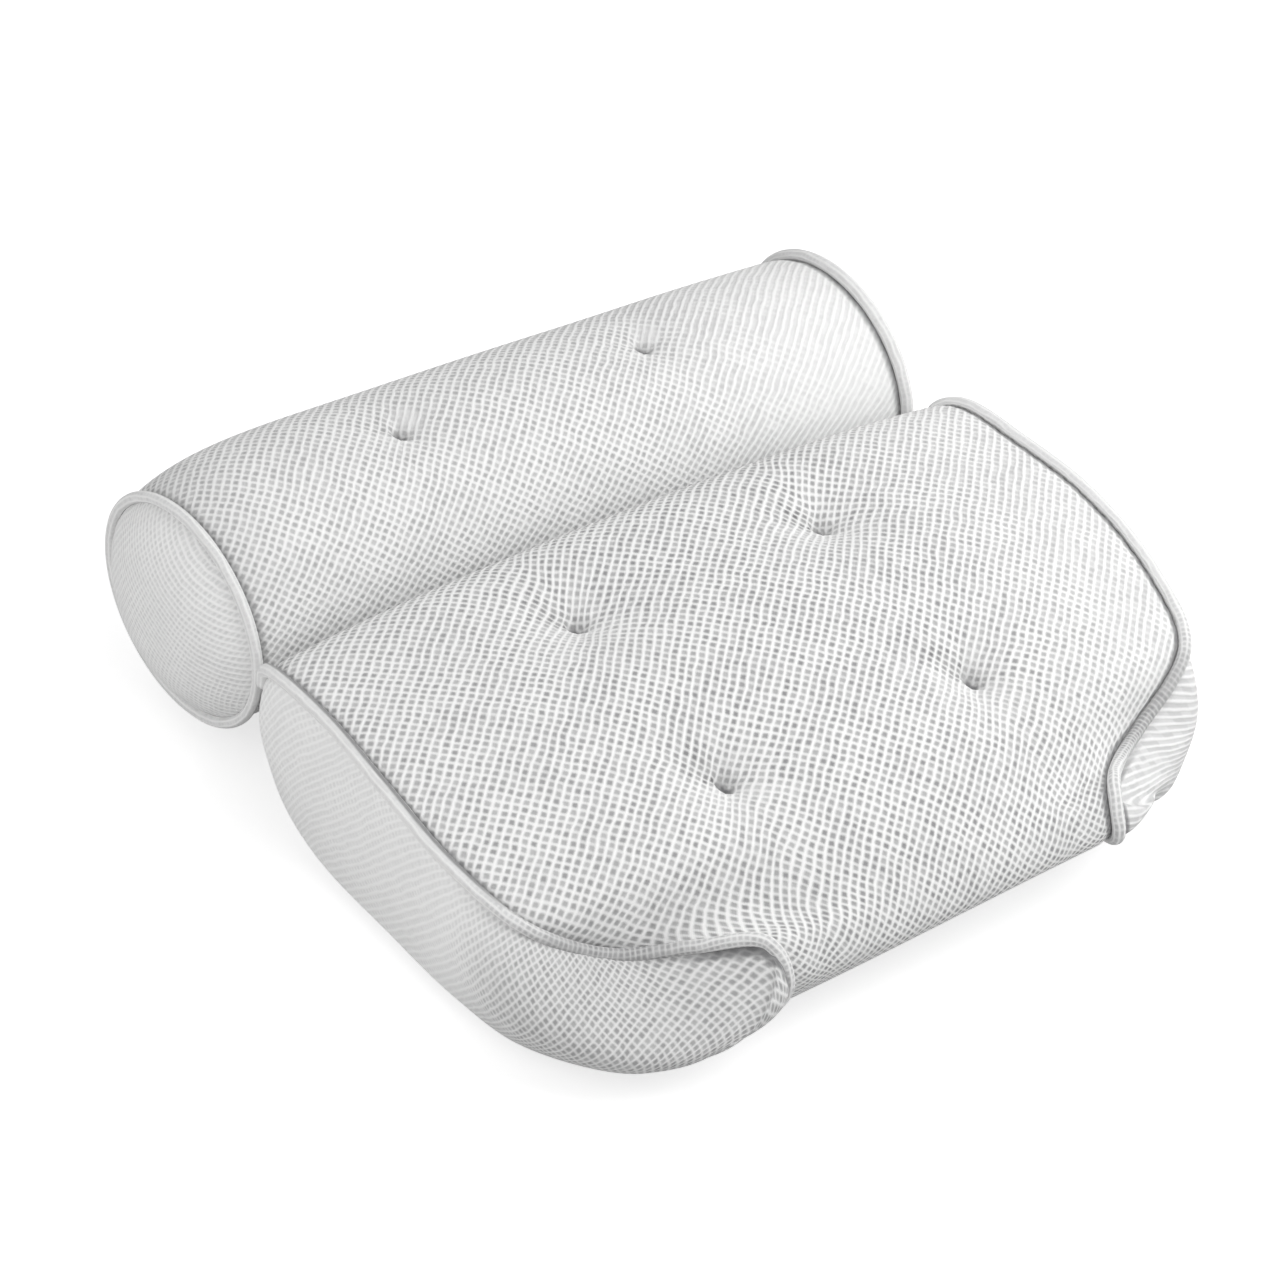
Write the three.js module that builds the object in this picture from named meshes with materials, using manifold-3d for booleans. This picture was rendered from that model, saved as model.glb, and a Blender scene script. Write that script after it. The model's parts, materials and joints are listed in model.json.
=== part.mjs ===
// Bath pillow: a neck roll sewn to a boxed body cushion, both of open spacer mesh,
// pinched by six tufts and standing on six suction cups.
// Millimetres, +Z up. X runs across the pillow, the roll is at +Y and the nose at -Y.
import * as THREE from "three";
import { mergeVertices } from "three/addons/utils/BufferGeometryUtils.js";
import Module from "manifold-3d";

// Cloth and clearances
const FABRIC = 3; // thickness of the spacer mesh
const GAP = 0.3; // between pieces that touch
const LINING = 0.8; // between a panel and the filling behind it

// Body cushion; heights count from its underside
const BODY_WIDTH = 378; // side seam to side seam
const BODY_LENGTH = 253; // fold line to the front of the nose
const CROWN_HEIGHT = 98;
const SIDE_HEIGHT = 84; // side seam at its highest
const CORNER_HEIGHT = 41; // side seam where it dips behind the toe
const TONGUE_HEIGHT = 53; // side seam over the tongue
const TONGUE_SPAN = 174; // between the tips of the two tongues
const NOSE_HEIGHT = 32; // front of the nose
const HEM_INSET = 5; // lower seam inside the side seam
const TOE_SETBACK = 24; // lower seam behind the front of the nose
const SIDE_BULGE = 5;
const LEFT_TOE_BULGE = 29; // the left toe is stuffed fuller than the right one
const RIGHT_TOE_BULGE = 5;
const NOSE_DRAW = 10; // the lower nose is drawn back by this on the right,
const NOSE_LIFT = 13; // and up by this
const NOSE_EASE = 12; // from a front tuft to where that begins
const UNDERSIDE = 6; // body cushion above the floor

// Neck roll
const ROLL_LENGTH = 350; // ring to ring
const ROLL_DEPTH = 113; // of the rings
const ROLL_HEIGHT = 96.8;
const ROLL_RISE = 4.4; // middle of the rings above the fold line
const ROLL_BULGE = 0.144; // swelling between the rings, as a share of the radius
const ROLL_LEAN = 0.76; // by this share more on the left and less on the right
const END_BULGE = 18; // how far an end panel domes out

// Fold between the two
const FOLD_HEIGHT = 50; // above the body's underside
const SEAM_RADIUS = 4.5; // bundle of seam allowances that the roll turns on
const FOLD_MOUTH = 3.5; // from the fold line up to the edge of the face panel

// Piping
const PIPING_RADIUS = 3;
const PIPING_SIDES = 6;
const PIPING_STEPS = 48;
const RING_STEPS = 32;
const PIPING_ROOM = 1; // between the piping and the edge of a panel

// Tufts
const TUFT_SPACING = 132;
const BACK_TUFT = 0.2688; // rear pair on the body, as a share of the body's length
const FRONT_TUFT = 0.6838;
const ROLL_TUFT = 63; // fold line to the pair on the roll
const BODY_TUFT_DEPTH = 15;
const ROLL_TUFT_DEPTH = 7;
const TUFT_REACH = 17; // distance over which a pinch fades
const TIE_RADIUS = 1;
const TIE_BORE = 1.6;

// Suction cups
const CUP_RADIUS = 28;
const CUP_RIM = 3; // flat ring that meets the wall
const CUP_EDGE = 1.2; // thickness at the rim
const CUP_HOLLOW = 4; // depth of the hollow under the cup
const CUP_SHOULDER = 7; // radius of the shoulder that the cloth lies on
const SEAT_HEIGHT = 12; // cloth above the floor at a cup
const SEAT_FLAT = 20; // flat radius of the cloth round a cup
const SEAT_REACH = 45;
const NECK_RADIUS = 4.2;
const HEAD_RADIUS = 7.5;
const HEAD_HEIGHT = 3;
const WASHER_RADIUS = 10;
const WASHER_HEIGHT = 2;
const TAB_WIDTH = 12;
const TAB_LENGTH = 8;
const CUP_SEGMENTS = 20;

const WHITE_MESH = { color: 0xf2f2f1, roughness: 0.85, metalness: 0 };
const GREY_RIB = { color: 0xdededd, roughness: 0.9, metalness: 0 };
const BINDING = { color: 0xe6e6e5, roughness: 0.8, metalness: 0 };
const WADDING = { color: 0xfafafa, roughness: 1, metalness: 0 };
const CLEAR_VINYL = { color: 0xe8eeee, roughness: 0.15, metalness: 0 };
const WASHER = { color: 0xe0e5e5, roughness: 0.5, metalness: 0 };
const THREAD = { color: 0xcfcfce, roughness: 0.7, metalness: 0 };

const halfWidth = BODY_WIDTH / 2;
const nose = -BODY_LENGTH;
const foldZ = UNDERSIDE + FOLD_HEIGHT;
const lip = SEAM_RADIUS + GAP; // nearest that a cushion comes to the fold line
const trim = PIPING_RADIUS + PIPING_ROOM;
const rollY = lip + ROLL_DEPTH / 2;
const rollZ = foldZ + ROLL_RISE;
const ringX = ROLL_LENGTH / 2;
const tuftX = TUFT_SPACING / 2;
const headTop = SEAT_HEIGHT + FABRIC + GAP + WASHER_HEIGHT + GAP + HEAD_HEIGHT;

const wasm = await Module();
wasm.setup();

const v3 = (x, y, z) => new THREE.Vector3(x, y, z);

function smooth(low, high, value) {
  return THREE.MathUtils.smoothstep(value, low, high);
}

// Solids for cutting and joining

function toSolid(geometry) {
  const bare = geometry.clone();
  bare.deleteAttribute("normal");
  bare.deleteAttribute("uv");
  const merged = mergeVertices(bare, 1e-4);
  return new wasm.Manifold(
    new wasm.Mesh({
      numProp: 3,
      vertProperties: merged.attributes.position.array,
      triVerts: new Uint32Array(merged.index.array),
    }),
  );
}

function toGeometry(solid) {
  const mesh = solid.getMesh();
  const geometry = new THREE.BufferGeometry();
  geometry.setAttribute("position", new THREE.BufferAttribute(mesh.vertProperties, 3));
  geometry.setIndex(new THREE.BufferAttribute(mesh.triVerts, 1));
  return geometry;
}

function cut(geometry, tools) {
  let solid = toSolid(geometry);
  for (const tool of tools) solid = solid.subtract(toSolid(tool));
  return toGeometry(solid);
}

// Upright lathe turned about the Z axis at x, y. The profile holds pairs of radius and height.
function turned(profile, x, y, segments = CUP_SEGMENTS) {
  const points = profile.map(([r, z]) => new THREE.Vector2(r, z));
  const lathe = new THREE.LatheGeometry(points, segments);
  lathe.rotateX(Math.PI / 2);
  return lathe.translate(x, y, 0);
}

// Grids of points become triangles. A grid is rows of points; seen from outside, its rows
// run up and its columns run to the right. A quad is halved along its shorter diagonal.

function gridTriangles(grid) {
  const triangles = [];
  for (let j = 0; j + 1 < grid.length; j++)
    for (let i = 0; i + 1 < grid[j].length; i++) {
      const [a, b, c, d] = [grid[j][i], grid[j][i + 1], grid[j + 1][i + 1], grid[j + 1][i]];
      const halves =
        a.distanceTo(c) < 1.02 * b.distanceTo(d) ? [[a, b, c], [a, c, d]] : [[a, b, d], [b, c, d]];
      for (const [p, q, r] of halves) {
        const flat = p.distanceTo(q) < 1e-4 || q.distanceTo(r) < 1e-4 || r.distanceTo(p) < 1e-4;
        if (!flat) triangles.push(p, q, r);
      }
    }
  return triangles;
}

function fromTriangles(triangles) {
  return mergeVertices(new THREE.BufferGeometry().setFromPoints(triangles), 1e-4);
}

const keyOf = (p) => [p.x, p.y, p.z].map((c) => Math.round(c * 1000)).join();

// The closed skin of a cushion, with the way inwards at each of its points. At a sharp ridge
// the way in is cut short.
const SLIMMEST = 0.7;
class Skin {
  constructor(grids) {
    this.triangles = grids.flatMap(gridTriangles);
    this.facets = new Map();
    for (let i = 0; i < this.triangles.length; i += 3) {
      const [a, b, c] = this.triangles.slice(i, i + 3);
      const normal = b.clone().sub(a).cross(c.clone().sub(a)).normalize();
      for (const p of [a, b, c]) {
        const key = keyOf(p);
        if (!this.facets.has(key)) this.facets.set(key, []);
        this.facets.get(key).push(normal);
      }
    }
  }

  // Point p moved inwards until it lies `depth` behind each facet that meets there.
  inside(p, depth) {
    const normals = this.facets.get(keyOf(p));
    const mean = v3(0, 0, 0);
    for (const n of normals) mean.add(n);
    mean.normalize();
    const slant = Math.min(...normals.map((n) => n.dot(mean)));
    return p.clone().addScaledVector(mean, -depth / Math.max(slant, SLIMMEST));
  }

  // Height of the cloth's inner face at the pinch over x, y.
  clothAbove(x, y, depth) {
    const away = (p) => Math.hypot(p.x - x, p.y - y) + (p.z < foldZ ? 1000 : 0);
    const nearest = this.triangles.reduce((a, b) => (away(b) < away(a) ? b : a));
    return this.inside(nearest, depth).z;
  }

  filling(depth) {
    return fromTriangles(this.triangles.map((p) => this.inside(p, depth)));
  }

  // A sheet of cloth whose outer face is the grid, as a closed solid.
  panel(grid, thickness, ring = false) {
    const outer = gridTriangles(grid);
    const behind = (p) => this.inside(p, thickness);
    const inner = [...outer].reverse().map(behind);
    const hem = (edge) => [edge.map(behind), edge];
    const hems = [hem(grid[0]), hem(grid.at(-1)).reverse()];
    if (!ring) {
      hems.push(hem(grid.map((row) => row[0])).reverse());
      hems.push(hem(grid.map((row) => row.at(-1))));
    }
    return fromTriangles([...outer, ...inner, ...hems.flatMap(gridTriangles)]);
  }
}

// Body cushion

// Stations run from the fold over the crown and down the nose to the lower seam. Each holds
// the panel's middle (y, z), the side seam (x, y, z) and the lower seam (x, y, z).
const crown = CROWN_HEIGHT;
const side = SIDE_HEIGHT;
const tip = TONGUE_SPAN / 2;
const hemX = halfWidth - HEM_INSET;
const hemY = nose + TOE_SETBACK;
const mouth = FOLD_HEIGHT + FOLD_MOUTH;
const stations = [
  [[-lip, mouth], [ringX + 3, -lip, mouth + 0.5], [ringX + 3, -lip - FABRIC, FOLD_HEIGHT - 4]],
  [[-lip - 4, crown - 16], [halfWidth - 9, -lip - 2, side - 14], [hemX, -13, FOLD_HEIGHT - 12]],
  [[-lip - 21, crown - 3], [halfWidth - 5, -20, side - 4], [hemX + 1, -28, FOLD_HEIGHT - 33]],
  [[-64, crown], [halfWidth - 3, -60, side], [hemX, -54, 3]],
  [[-112, crown], [halfWidth, -104, side - 2], [hemX, -108, 0]],
  [[nose + 95, crown - 7], [halfWidth - 2, nose + 103, side - 12], [hemX, nose + 98, 0]],
  [[nose + 57, crown - 18], [halfWidth - 14, nose + 65, side - 24], [hemX - 6, nose + 59, 0]],
  [[nose + 33, crown - 30], [tip + 53, nose + 50, CORNER_HEIGHT], [hemX - 26, hemY + 6, 0]],
  [[nose + 17, crown - 42], [tip + 25, nose + 32, TONGUE_HEIGHT - 7], [tip + 57, hemY - 2, 0]],
  [[nose + 7, NOSE_HEIGHT + 15], [tip + 4, nose + 12, TONGUE_HEIGHT], [tip + 48, hemY - 3, 0.5]],
  [[nose, NOSE_HEIGHT], [tip, nose + 1, NOSE_HEIGHT + 5], [tip + 37, hemY - 2, 1]],
  [[nose + 8, 13], [tip + 5, nose + 6, NOSE_HEIGHT - 15], [tip + 28, hemY - 1, 1.5]],
  [[hemY + 10, 0], [tip + 17, hemY, 2], [tip + 17, hemY, 2]],
];
const lastStation = stations.length - 1;

const routeOf = (points) => new THREE.CatmullRomCurve3(points, false, "centripetal");
const middle = routeOf(stations.map(([m]) => v3(0, m[0], UNDERSIDE + m[1])));
const seam = routeOf(stations.map(([, s]) => v3(s[0], s[1], UNDERSIDE + s[2])));
const hem = routeOf(stations.map(([, , h]) => v3(h[0], h[1], UNDERSIDE + h[2])));

const tufts = [
  { name: "roll", y: ROLL_TUFT, depth: ROLL_TUFT_DEPTH },
  { name: "back", y: BACK_TUFT * nose, depth: BODY_TUFT_DEPTH },
  { name: "front", y: FRONT_TUFT * nose, depth: BODY_TUFT_DEPTH },
];

// How far a pinched face sinks at x, y.
function pinch(x, y) {
  let sum = 0;
  for (const tuft of tufts) {
    const r = Math.hypot(Math.abs(x) - tuftX, y - tuft.y);
    sum += tuft.depth * Math.exp(-r / TUFT_REACH);
  }
  return sum;
}

// The lower face is drawn up flat round each cup.
function seated(p) {
  for (const tuft of tufts) {
    const r = Math.hypot(Math.abs(p.x) - tuftX, p.y - tuft.y);
    p.z += (SEAT_HEIGHT - p.z) * (1 - smooth(SEAT_FLAT, SEAT_REACH, r));
  }
  return p;
}

// Across the panel the middle's crown falls away to the seam.
const CROWN_POWER = 2.6;
function facePoint(across, t) {
  const edge = seam.getPoint(t);
  const mid = middle.getPoint(t);
  const rise = 1 - Math.abs(across) ** CROWN_POWER;
  const p = v3(across * edge.x, 0, 0);
  p.y = edge.y + (mid.y - edge.y) * rise;
  p.z = edge.z + (mid.z - edge.z) * rise;
  const loose = smooth(0, 0.5, 1 - Math.abs(across)) * smooth(0, 2, t * lastStation);
  p.z -= pinch(p.x, p.y) * loose * (1 - smooth(7, 9, t * lastStation));
  return p;
}

// The lower face's middle follows the lower seam, then runs on evenly to its front edge.
function backPoint(across, t) {
  const edge = hem.getPoint(t);
  const front = Math.max(0, (t * lastStation - 5) / (lastStation - 5));
  const mid = THREE.MathUtils.lerp(hem.getPoint(5 / lastStation).y, middle.getPoint(1).y, front);
  const p = v3(across * edge.x, edge.y, edge.z);
  if (front > 0) p.y += (mid - edge.y) * (1 - Math.abs(across) ** CROWN_POWER);
  return seated(p);
}

// Down the right gusset from the side seam (0) to the lower seam (1), as a cubic curve that
// leaves the side seam at a right angle.
function gussetPoint(t, down, toeBulge) {
  const at = t * lastStation;
  const top = seam.getPoint(t);
  const low = hem.getPoint(t);
  const turn = (Math.PI / 2) * smooth(4.5, 7.5, at);
  const out = v3(Math.cos(turn), -Math.sin(turn), 0);
  const toe = smooth(4.5, 7, at) * (1 - smooth(8.5, 12, at));
  const fade = smooth(-0.3, 1.2, at) * Math.min(1, (lastStation - at) / 1.5);
  const bulge = (SIDE_BULGE + (toeBulge - SIDE_BULGE) * toe) * fade;
  const setback = Math.max(0, low.clone().sub(top).dot(out));
  const leave = out.clone().cross(seam.getTangent(t)).setLength(0.25 * top.distanceTo(low));
  const handleTop = top.clone().add(leave).addScaledVector(out, 0.75 * setback + bulge);
  const handleLow = low.clone().addScaledVector(out, 1.6 * bulge);
  handleLow.z += 0.45 * (top.z - low.z);
  return new THREE.CubicBezierCurve3(top, handleTop, handleLow, low).getPoint(down);
}

// Where the gusset's edge lies beside the piping, as a share of the way down.
function gussetEdge(t, toeBulge) {
  const step = 0.01;
  const along = seam.getPoint(Math.min(1, t + step)).sub(seam.getPoint(Math.max(0, t - step)));
  const down = gussetPoint(t, 0.2, toeBulge).sub(gussetPoint(t, 0, toeBulge)).divideScalar(0.2);
  const apart = down.cross(along.normalize()).length();
  return THREE.MathUtils.clamp((1.15 * trim) / Math.max(apart, 1), 0.05, 0.5);
}

// The filling has settled to the left, so the lower nose is drawn up towards the right.
function settled(p) {
  const reach = (1 - FRONT_TUFT) * BODY_LENGTH - NOSE_EASE;
  const front = 1 - smooth(0.22 * reach, reach, p.y - nose);
  const low = 1 - smooth(UNDERSIDE + 4, UNDERSIDE + NOSE_HEIGHT + 12, p.z);
  const share = front * low * (0.15 + 0.85 * smooth(-tip - 43, tip + 43, p.x));
  return v3(p.x, p.y + NOSE_DRAW * share, p.z + NOSE_LIFT * share);
}

// Row places: closer at the ends of the side seam than along its middle, with the rows
// nearest the tufts moved onto them.
const BODY_ROWS = 24;
function rowPlaces() {
  const places = [];
  for (let j = 0; j <= BODY_ROWS; j++) {
    const along = j / BODY_ROWS;
    places.push((seam.getUtoTmapping(along) + along) / 2);
  }
  for (const { y } of tufts.slice(1)) {
    let best = 0;
    for (let t = 0; t < 1; t += 0.002)
      if (Math.abs(facePoint(0.35, t).y - y) < Math.abs(facePoint(0.35, best).y - y)) best = t;
    const nearest = places.reduce((a, b) => (Math.abs(b - best) < Math.abs(a - best) ? b : a));
    places[places.indexOf(nearest)] = best;
  }
  return places;
}

// Column places from the middle to the side, as shares of the half width, then the panel's
// cut edge at the piping.
const tuftShare = tuftX / halfWidth;
const innerColumns = [0, 0.15, tuftShare - 0.07, tuftShare, tuftShare + 0.07, 0.6, 0.84];

function edgeShare(pointAt, t, route, room) {
  const step = 0.01;
  const ahead = Math.min(1, t + step);
  const along = route.getPoint(ahead).sub(route.getPoint(Math.max(0, t - step))).normalize();
  const across = pointAt(1, t).sub(pointAt(1 - step, t)).divideScalar(step);
  return 1 - room / Math.max(across.cross(along).length(), 1);
}

function sheetRows(pointAt, route, room) {
  return rowPlaces().map((t) => {
    const cutEdge = Math.max(edgeShare(pointAt, t, route, room), 0.9);
    const half = [...innerColumns.map((s) => (s * cutEdge) / 0.97), cutEdge, 1];
    const shares = [...half.slice(1).reverse().map((s) => -s), ...half];
    return shares.map((s) => pointAt(s, t));
  });
}

const mirrored = (grid) => grid.map((row) => row.map((p) => v3(-p.x, p.y, p.z)).reverse());
const settledGrid = (grid) => grid.map((row) => row.map(settled));
const flipped = (grid) => [...grid].reverse();

function buildBody() {
  const faceRows = sheetRows(facePoint, seam, trim);
  const backRows = sheetRows(backPoint, hem, FABRIC + GAP);
  backRows[BODY_ROWS] = faceRows[BODY_ROWS];
  const downs = [0, 0.1, 0.45, 0.75, 1];
  const gussetColumns = (toeBulge) =>
    rowPlaces().map((t, j) => {
      const pipingEdge = gussetEdge(t, toeBulge);
      return downs.map((down) => {
        const [top, low] = [faceRows[j].at(-1), backRows[j].at(-1)];
        if (down === 0 || j === BODY_ROWS) return top;
        if (down === 1) return low;
        const share = pipingEdge + ((1 - pipingEdge) * (down - downs[1])) / (1 - downs[1]);
        return j === 0 ? top.clone().lerp(low, down) : gussetPoint(t, share, toeBulge);
      });
    });
  const rightRaw = flipped(gussetColumns(RIGHT_TOE_BULGE));
  const leftRaw = mirrored(flipped(gussetColumns(LEFT_TOE_BULGE)));
  const rearRaw = flipped(downs).map((down) =>
    flipped(faceRows[0].map((p, i) => (down === 1 ? backRows[0][i] : p.clone().lerp(backRows[0][i], down)))),
  );
  const raw = [flipped(faceRows), backRows, rightRaw, leftRaw, rearRaw];
  const [face, back, right, left, rear] = raw.map(settledGrid);
  const skin = new Skin([face, back, right, left, rear]);
  const inner = (rows) => rows.map((row) => row.slice(1, -1));
  return {
    skin,
    face: skin.panel(inner(face), FABRIC),
    back: skin.panel(inner(back.slice(0, -1)), FABRIC),
    gusset: skin.panel(right.slice(1).map((row) => row.slice(1)), FABRIC),
    otherGusset: skin.panel(left.slice(1).map((row) => row.slice(0, -1)), FABRIC),
    filling: skin.filling(FABRIC + LINING),
  };
}

// Neck roll

// The section is an ellipse that swells upwards and backwards between the rings, most on the
// left, where the filling lies thicker. Angle 0 is the fold side; the angle then climbs over
// the top.
function rollPoint(x, angle, share = 1) {
  const swell = (1 - Math.min(1, Math.abs(x) / ringX) ** 6) * (1 - (ROLL_LEAN * x) / ringX);
  const reach = angle < 1.5 * Math.PI ? Math.sin((angle * 2) / 3) ** 2 : 0;
  const scale = share * (1 + ROLL_BULGE * swell * reach);
  const p = v3(x, rollY - (ROLL_DEPTH / 2) * scale * Math.cos(angle), rollZ);
  p.z += (ROLL_HEIGHT / 2) * scale * Math.sin(angle);
  if (share < 1) return p;
  if (p.z < rollZ) return seated(p);
  p.z -= pinch(p.x, p.y) * smooth(0.1, 0.8, Math.sin(angle));
  return p;
}

const ROLL_COLUMNS = 24;
function buildRoll() {
  const round = Array.from({ length: ROLL_COLUMNS + 1 }, (_, k) => k % ROLL_COLUMNS);
  const hoop = (x, share) => round.map((k) => rollPoint(x, (2 * Math.PI * k) / ROLL_COLUMNS, share));
  const domed = (share) => ringX + END_BULGE * (1 - share ** 3);
  const endShares = [1, 1 - (2 * trim) / ROLL_DEPTH, 0.7, 0.35, 0];
  const half = [0, tuftX / 2, tuftX - 13, tuftX, tuftX + 13, tuftX + 46, ringX - 22, ringX - trim];
  const tube = [...flipped(half), ...half.slice(1).map((x) => -x)].map((x) => hoop(x, 1));
  const left = endShares.map((share) => hoop(-domed(share), share));
  const right = flipped(endShares.map((share) => hoop(domed(share), share)));
  const skin = new Skin([[...right, ...tube, ...left]]);
  return {
    skin,
    wrap: skin.panel(tube, FABRIC, true),
    rightEnd: skin.panel(right.slice(0, -1), FABRIC, true),
    leftEnd: skin.panel(left.slice(1), FABRIC, true),
    filling: skin.filling(FABRIC + LINING),
  };
}

// Piping: a cord in a strip of mesh, sewn between two panels.

function sectionShape(radius, sides) {
  const shape = new THREE.Shape();
  for (let k = 0; k < sides; k++) {
    const a = (2 * Math.PI * k) / sides;
    if (k) shape.lineTo(radius * Math.cos(a), radius * Math.sin(a));
    else shape.moveTo(radius, 0);
  }
  shape.closePath();
  return shape;
}

function sidePiping(sign) {
  const points = [];
  for (let k = 0; k <= PIPING_STEPS; k++) points.push(seam.getPointAt(0.03 + (0.95 * k) / PIPING_STEPS));
  const path = new THREE.CatmullRomCurve3(points.map((p) => settled(v3(sign * p.x, p.y, p.z))));
  return new THREE.ExtrudeGeometry(sectionShape(PIPING_RADIUS, PIPING_SIDES), {
    steps: PIPING_STEPS,
    extrudePath: path,
  });
}

function ringPiping(sign) {
  const ring = new THREE.TorusGeometry(ROLL_DEPTH / 2, PIPING_RADIUS, PIPING_SIDES, RING_STEPS);
  ring.scale(1, ROLL_HEIGHT / ROLL_DEPTH, 1);
  ring.rotateX(Math.PI / 2).rotateZ(Math.PI / 2);
  return ring.translate(sign * ringX, rollY, rollZ);
}

// Fold seam: the allowances of all the panels rolled into one bundle, with a tail between
// the body's two panels.
function foldSeam() {
  const shape = new THREE.Shape();
  const tail = FOLD_MOUTH - GAP;
  const reach = lip + FABRIC;
  const start = Math.asin(tail / SEAM_RADIUS);
  shape.moveTo(-reach, -tail);
  shape.absarc(0, 0, SEAM_RADIUS, Math.PI + start, 3 * Math.PI - start, false);
  shape.lineTo(-reach, tail);
  shape.closePath();
  const length = ROLL_LENGTH - 2 * (PIPING_RADIUS + GAP);
  const bar = new THREE.ExtrudeGeometry(shape, { depth: length, bevelEnabled: false, curveSegments: 18 });
  bar.rotateX(Math.PI / 2).rotateZ(Math.PI / 2);
  return bar.translate(-length / 2, 0, foldZ);
}

// Suction cups and what holds them

function cupGeometry(x, y) {
  const rim = CUP_RADIUS - CUP_RIM;
  const clothTop = SEAT_HEIGHT + FABRIC + GAP + WASHER_HEIGHT + GAP;
  const shoulder = SEAT_HEIGHT - LINING;
  const disc = turned(
    [
      [0, CUP_HOLLOW],
      [rim * 0.5, CUP_HOLLOW * 0.75],
      [rim, 0],
      [CUP_RADIUS, 0],
      [CUP_RADIUS, CUP_EDGE],
      [CUP_RADIUS * 0.6, CUP_EDGE + CUP_HOLLOW],
      [CUP_SHOULDER, shoulder - 2],
      [CUP_SHOULDER, shoulder],
      [NECK_RADIUS, shoulder],
      [NECK_RADIUS, clothTop],
      [HEAD_RADIUS, clothTop],
      [HEAD_RADIUS * 0.7, headTop],
      [0, headTop],
    ],
    x,
    y,
  );
  const outline = new THREE.Shape();
  outline.moveTo(TAB_WIDTH / 2, CUP_EDGE);
  outline.lineTo(-TAB_WIDTH / 2, CUP_EDGE);
  outline.absarc(0, TAB_WIDTH / 2 - TAB_LENGTH, TAB_WIDTH / 2, Math.PI, 2 * Math.PI, false);
  outline.closePath();
  const tab = new THREE.ExtrudeGeometry(outline, { depth: CUP_EDGE, bevelEnabled: false, curveSegments: 8 });
  tab.translate(x, y - CUP_RADIUS, CUP_EDGE / 2);
  return toGeometry(toSolid(disc).add(toSolid(tab)));
}

function washerGeometry(x, y) {
  const low = SEAT_HEIGHT + FABRIC + GAP;
  const bore = NECK_RADIUS + GAP;
  return turned(
    [
      [bore, low],
      [WASHER_RADIUS, low],
      [WASHER_RADIUS, low + WASHER_HEIGHT],
      [bore, low + WASHER_HEIGHT],
      [bore, low],
    ],
    x,
    y,
  );
}

const eyelet = (x, y) =>
  turned([[0, 0], [NECK_RADIUS + GAP, 0], [NECK_RADIUS + GAP, headTop], [0, headTop]], x, y, 12);

// Room in the filling for the washer, the head of the cup and the tie above them.
const pocket = (x, y) =>
  turned(
    [
      [0, 0],
      [WASHER_RADIUS + LINING, 0],
      [WASHER_RADIUS + LINING, headTop + LINING],
      [TIE_BORE, headTop + LINING],
      [TIE_BORE, 2 * foldZ],
      [0, 2 * foldZ],
    ],
    x,
    y,
    10,
  );

// A tie runs from the head of the cup up to the cloth that it pinches.
function tieGeometry(x, y, top) {
  const low = headTop + GAP;
  return turned([[0, low], [TIE_RADIUS, low], [TIE_RADIUS, top], [0, top]], x, y, 8);
}

// The assembly: the neck group turns about the fold line.

const pillow = new THREE.Group();
const cushion = new THREE.Group();
const neck = new THREE.Group();
neck.position.z = foldZ;
cushion.add(neck);
pillow.add(cushion);

// Geometry is made in the cushion's frame, so a mesh steps back by its parent's own place.
function add(parent, name, geometry, finish) {
  const mesh = new THREE.Mesh(geometry, new THREE.MeshStandardMaterial(finish));
  mesh.name = name;
  mesh.position.copy(parent.position).negate();
  parent.add(mesh);
}

const body = buildBody();
const roll = buildRoll();
const stationsOf = (list) => list.flatMap((tuft) => [-tuftX, tuftX].map((x) => [x, tuft.y]));
const bodyCups = stationsOf(tufts.slice(1));
const rollCups = stationsOf(tufts.slice(0, 1));
const eyelets = (cups) => cups.map(([x, y]) => eyelet(x, y));
const pockets = (cups) => cups.map(([x, y]) => pocket(x, y));

add(cushion, "body_face_panel", body.face, WHITE_MESH);
add(cushion, "body_back_panel", cut(body.back, eyelets(bodyCups)), WHITE_MESH);
add(cushion, "body_gusset_right", body.gusset, GREY_RIB);
add(cushion, "body_gusset_left", body.otherGusset, GREY_RIB);
add(cushion, "body_piping_right", sidePiping(1), BINDING);
add(cushion, "body_piping_left", sidePiping(-1), BINDING);
add(cushion, "body_fill", cut(body.filling, pockets(bodyCups)), WADDING);
add(cushion, "fold_seam", foldSeam(), BINDING);

add(neck, "roll_wrap_panel", cut(roll.wrap, eyelets(rollCups)), WHITE_MESH);
add(neck, "roll_end_panel_right", roll.rightEnd, GREY_RIB);
add(neck, "roll_end_panel_left", roll.leftEnd, GREY_RIB);
add(neck, "roll_piping_right", ringPiping(1), BINDING);
add(neck, "roll_piping_left", ringPiping(-1), BINDING);
add(neck, "roll_fill", cut(roll.filling, pockets(rollCups)), WADDING);

for (const tuft of tufts)
  for (const [hand, x] of [["left", -tuftX], ["right", tuftX]]) {
    const [parent, skin] = tuft.name === "roll" ? [neck, roll.skin] : [cushion, body.skin];
    const clothTop = skin.clothAbove(x, tuft.y, FABRIC + GAP);
    add(parent, `suction_cup_${tuft.name}_${hand}`, cupGeometry(x, tuft.y), CLEAR_VINYL);
    add(parent, `cup_washer_${tuft.name}_${hand}`, washerGeometry(x, tuft.y), WASHER);
    add(parent, `tuft_tie_${tuft.name}_${hand}`, tieGeometry(x, tuft.y, clothTop), THREAD);
  }

// The origin lies on the floor under the middle of the whole.
const box = new THREE.Box3().setFromObject(pillow, true);
cushion.position.y = -(box.min.y + box.max.y) / 2;

export default pillow;
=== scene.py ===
import json
import math

import bmesh
import bpy
import numpy as np
from mathutils import Matrix, Vector
from mathutils.kdtree import KDTree


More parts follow.
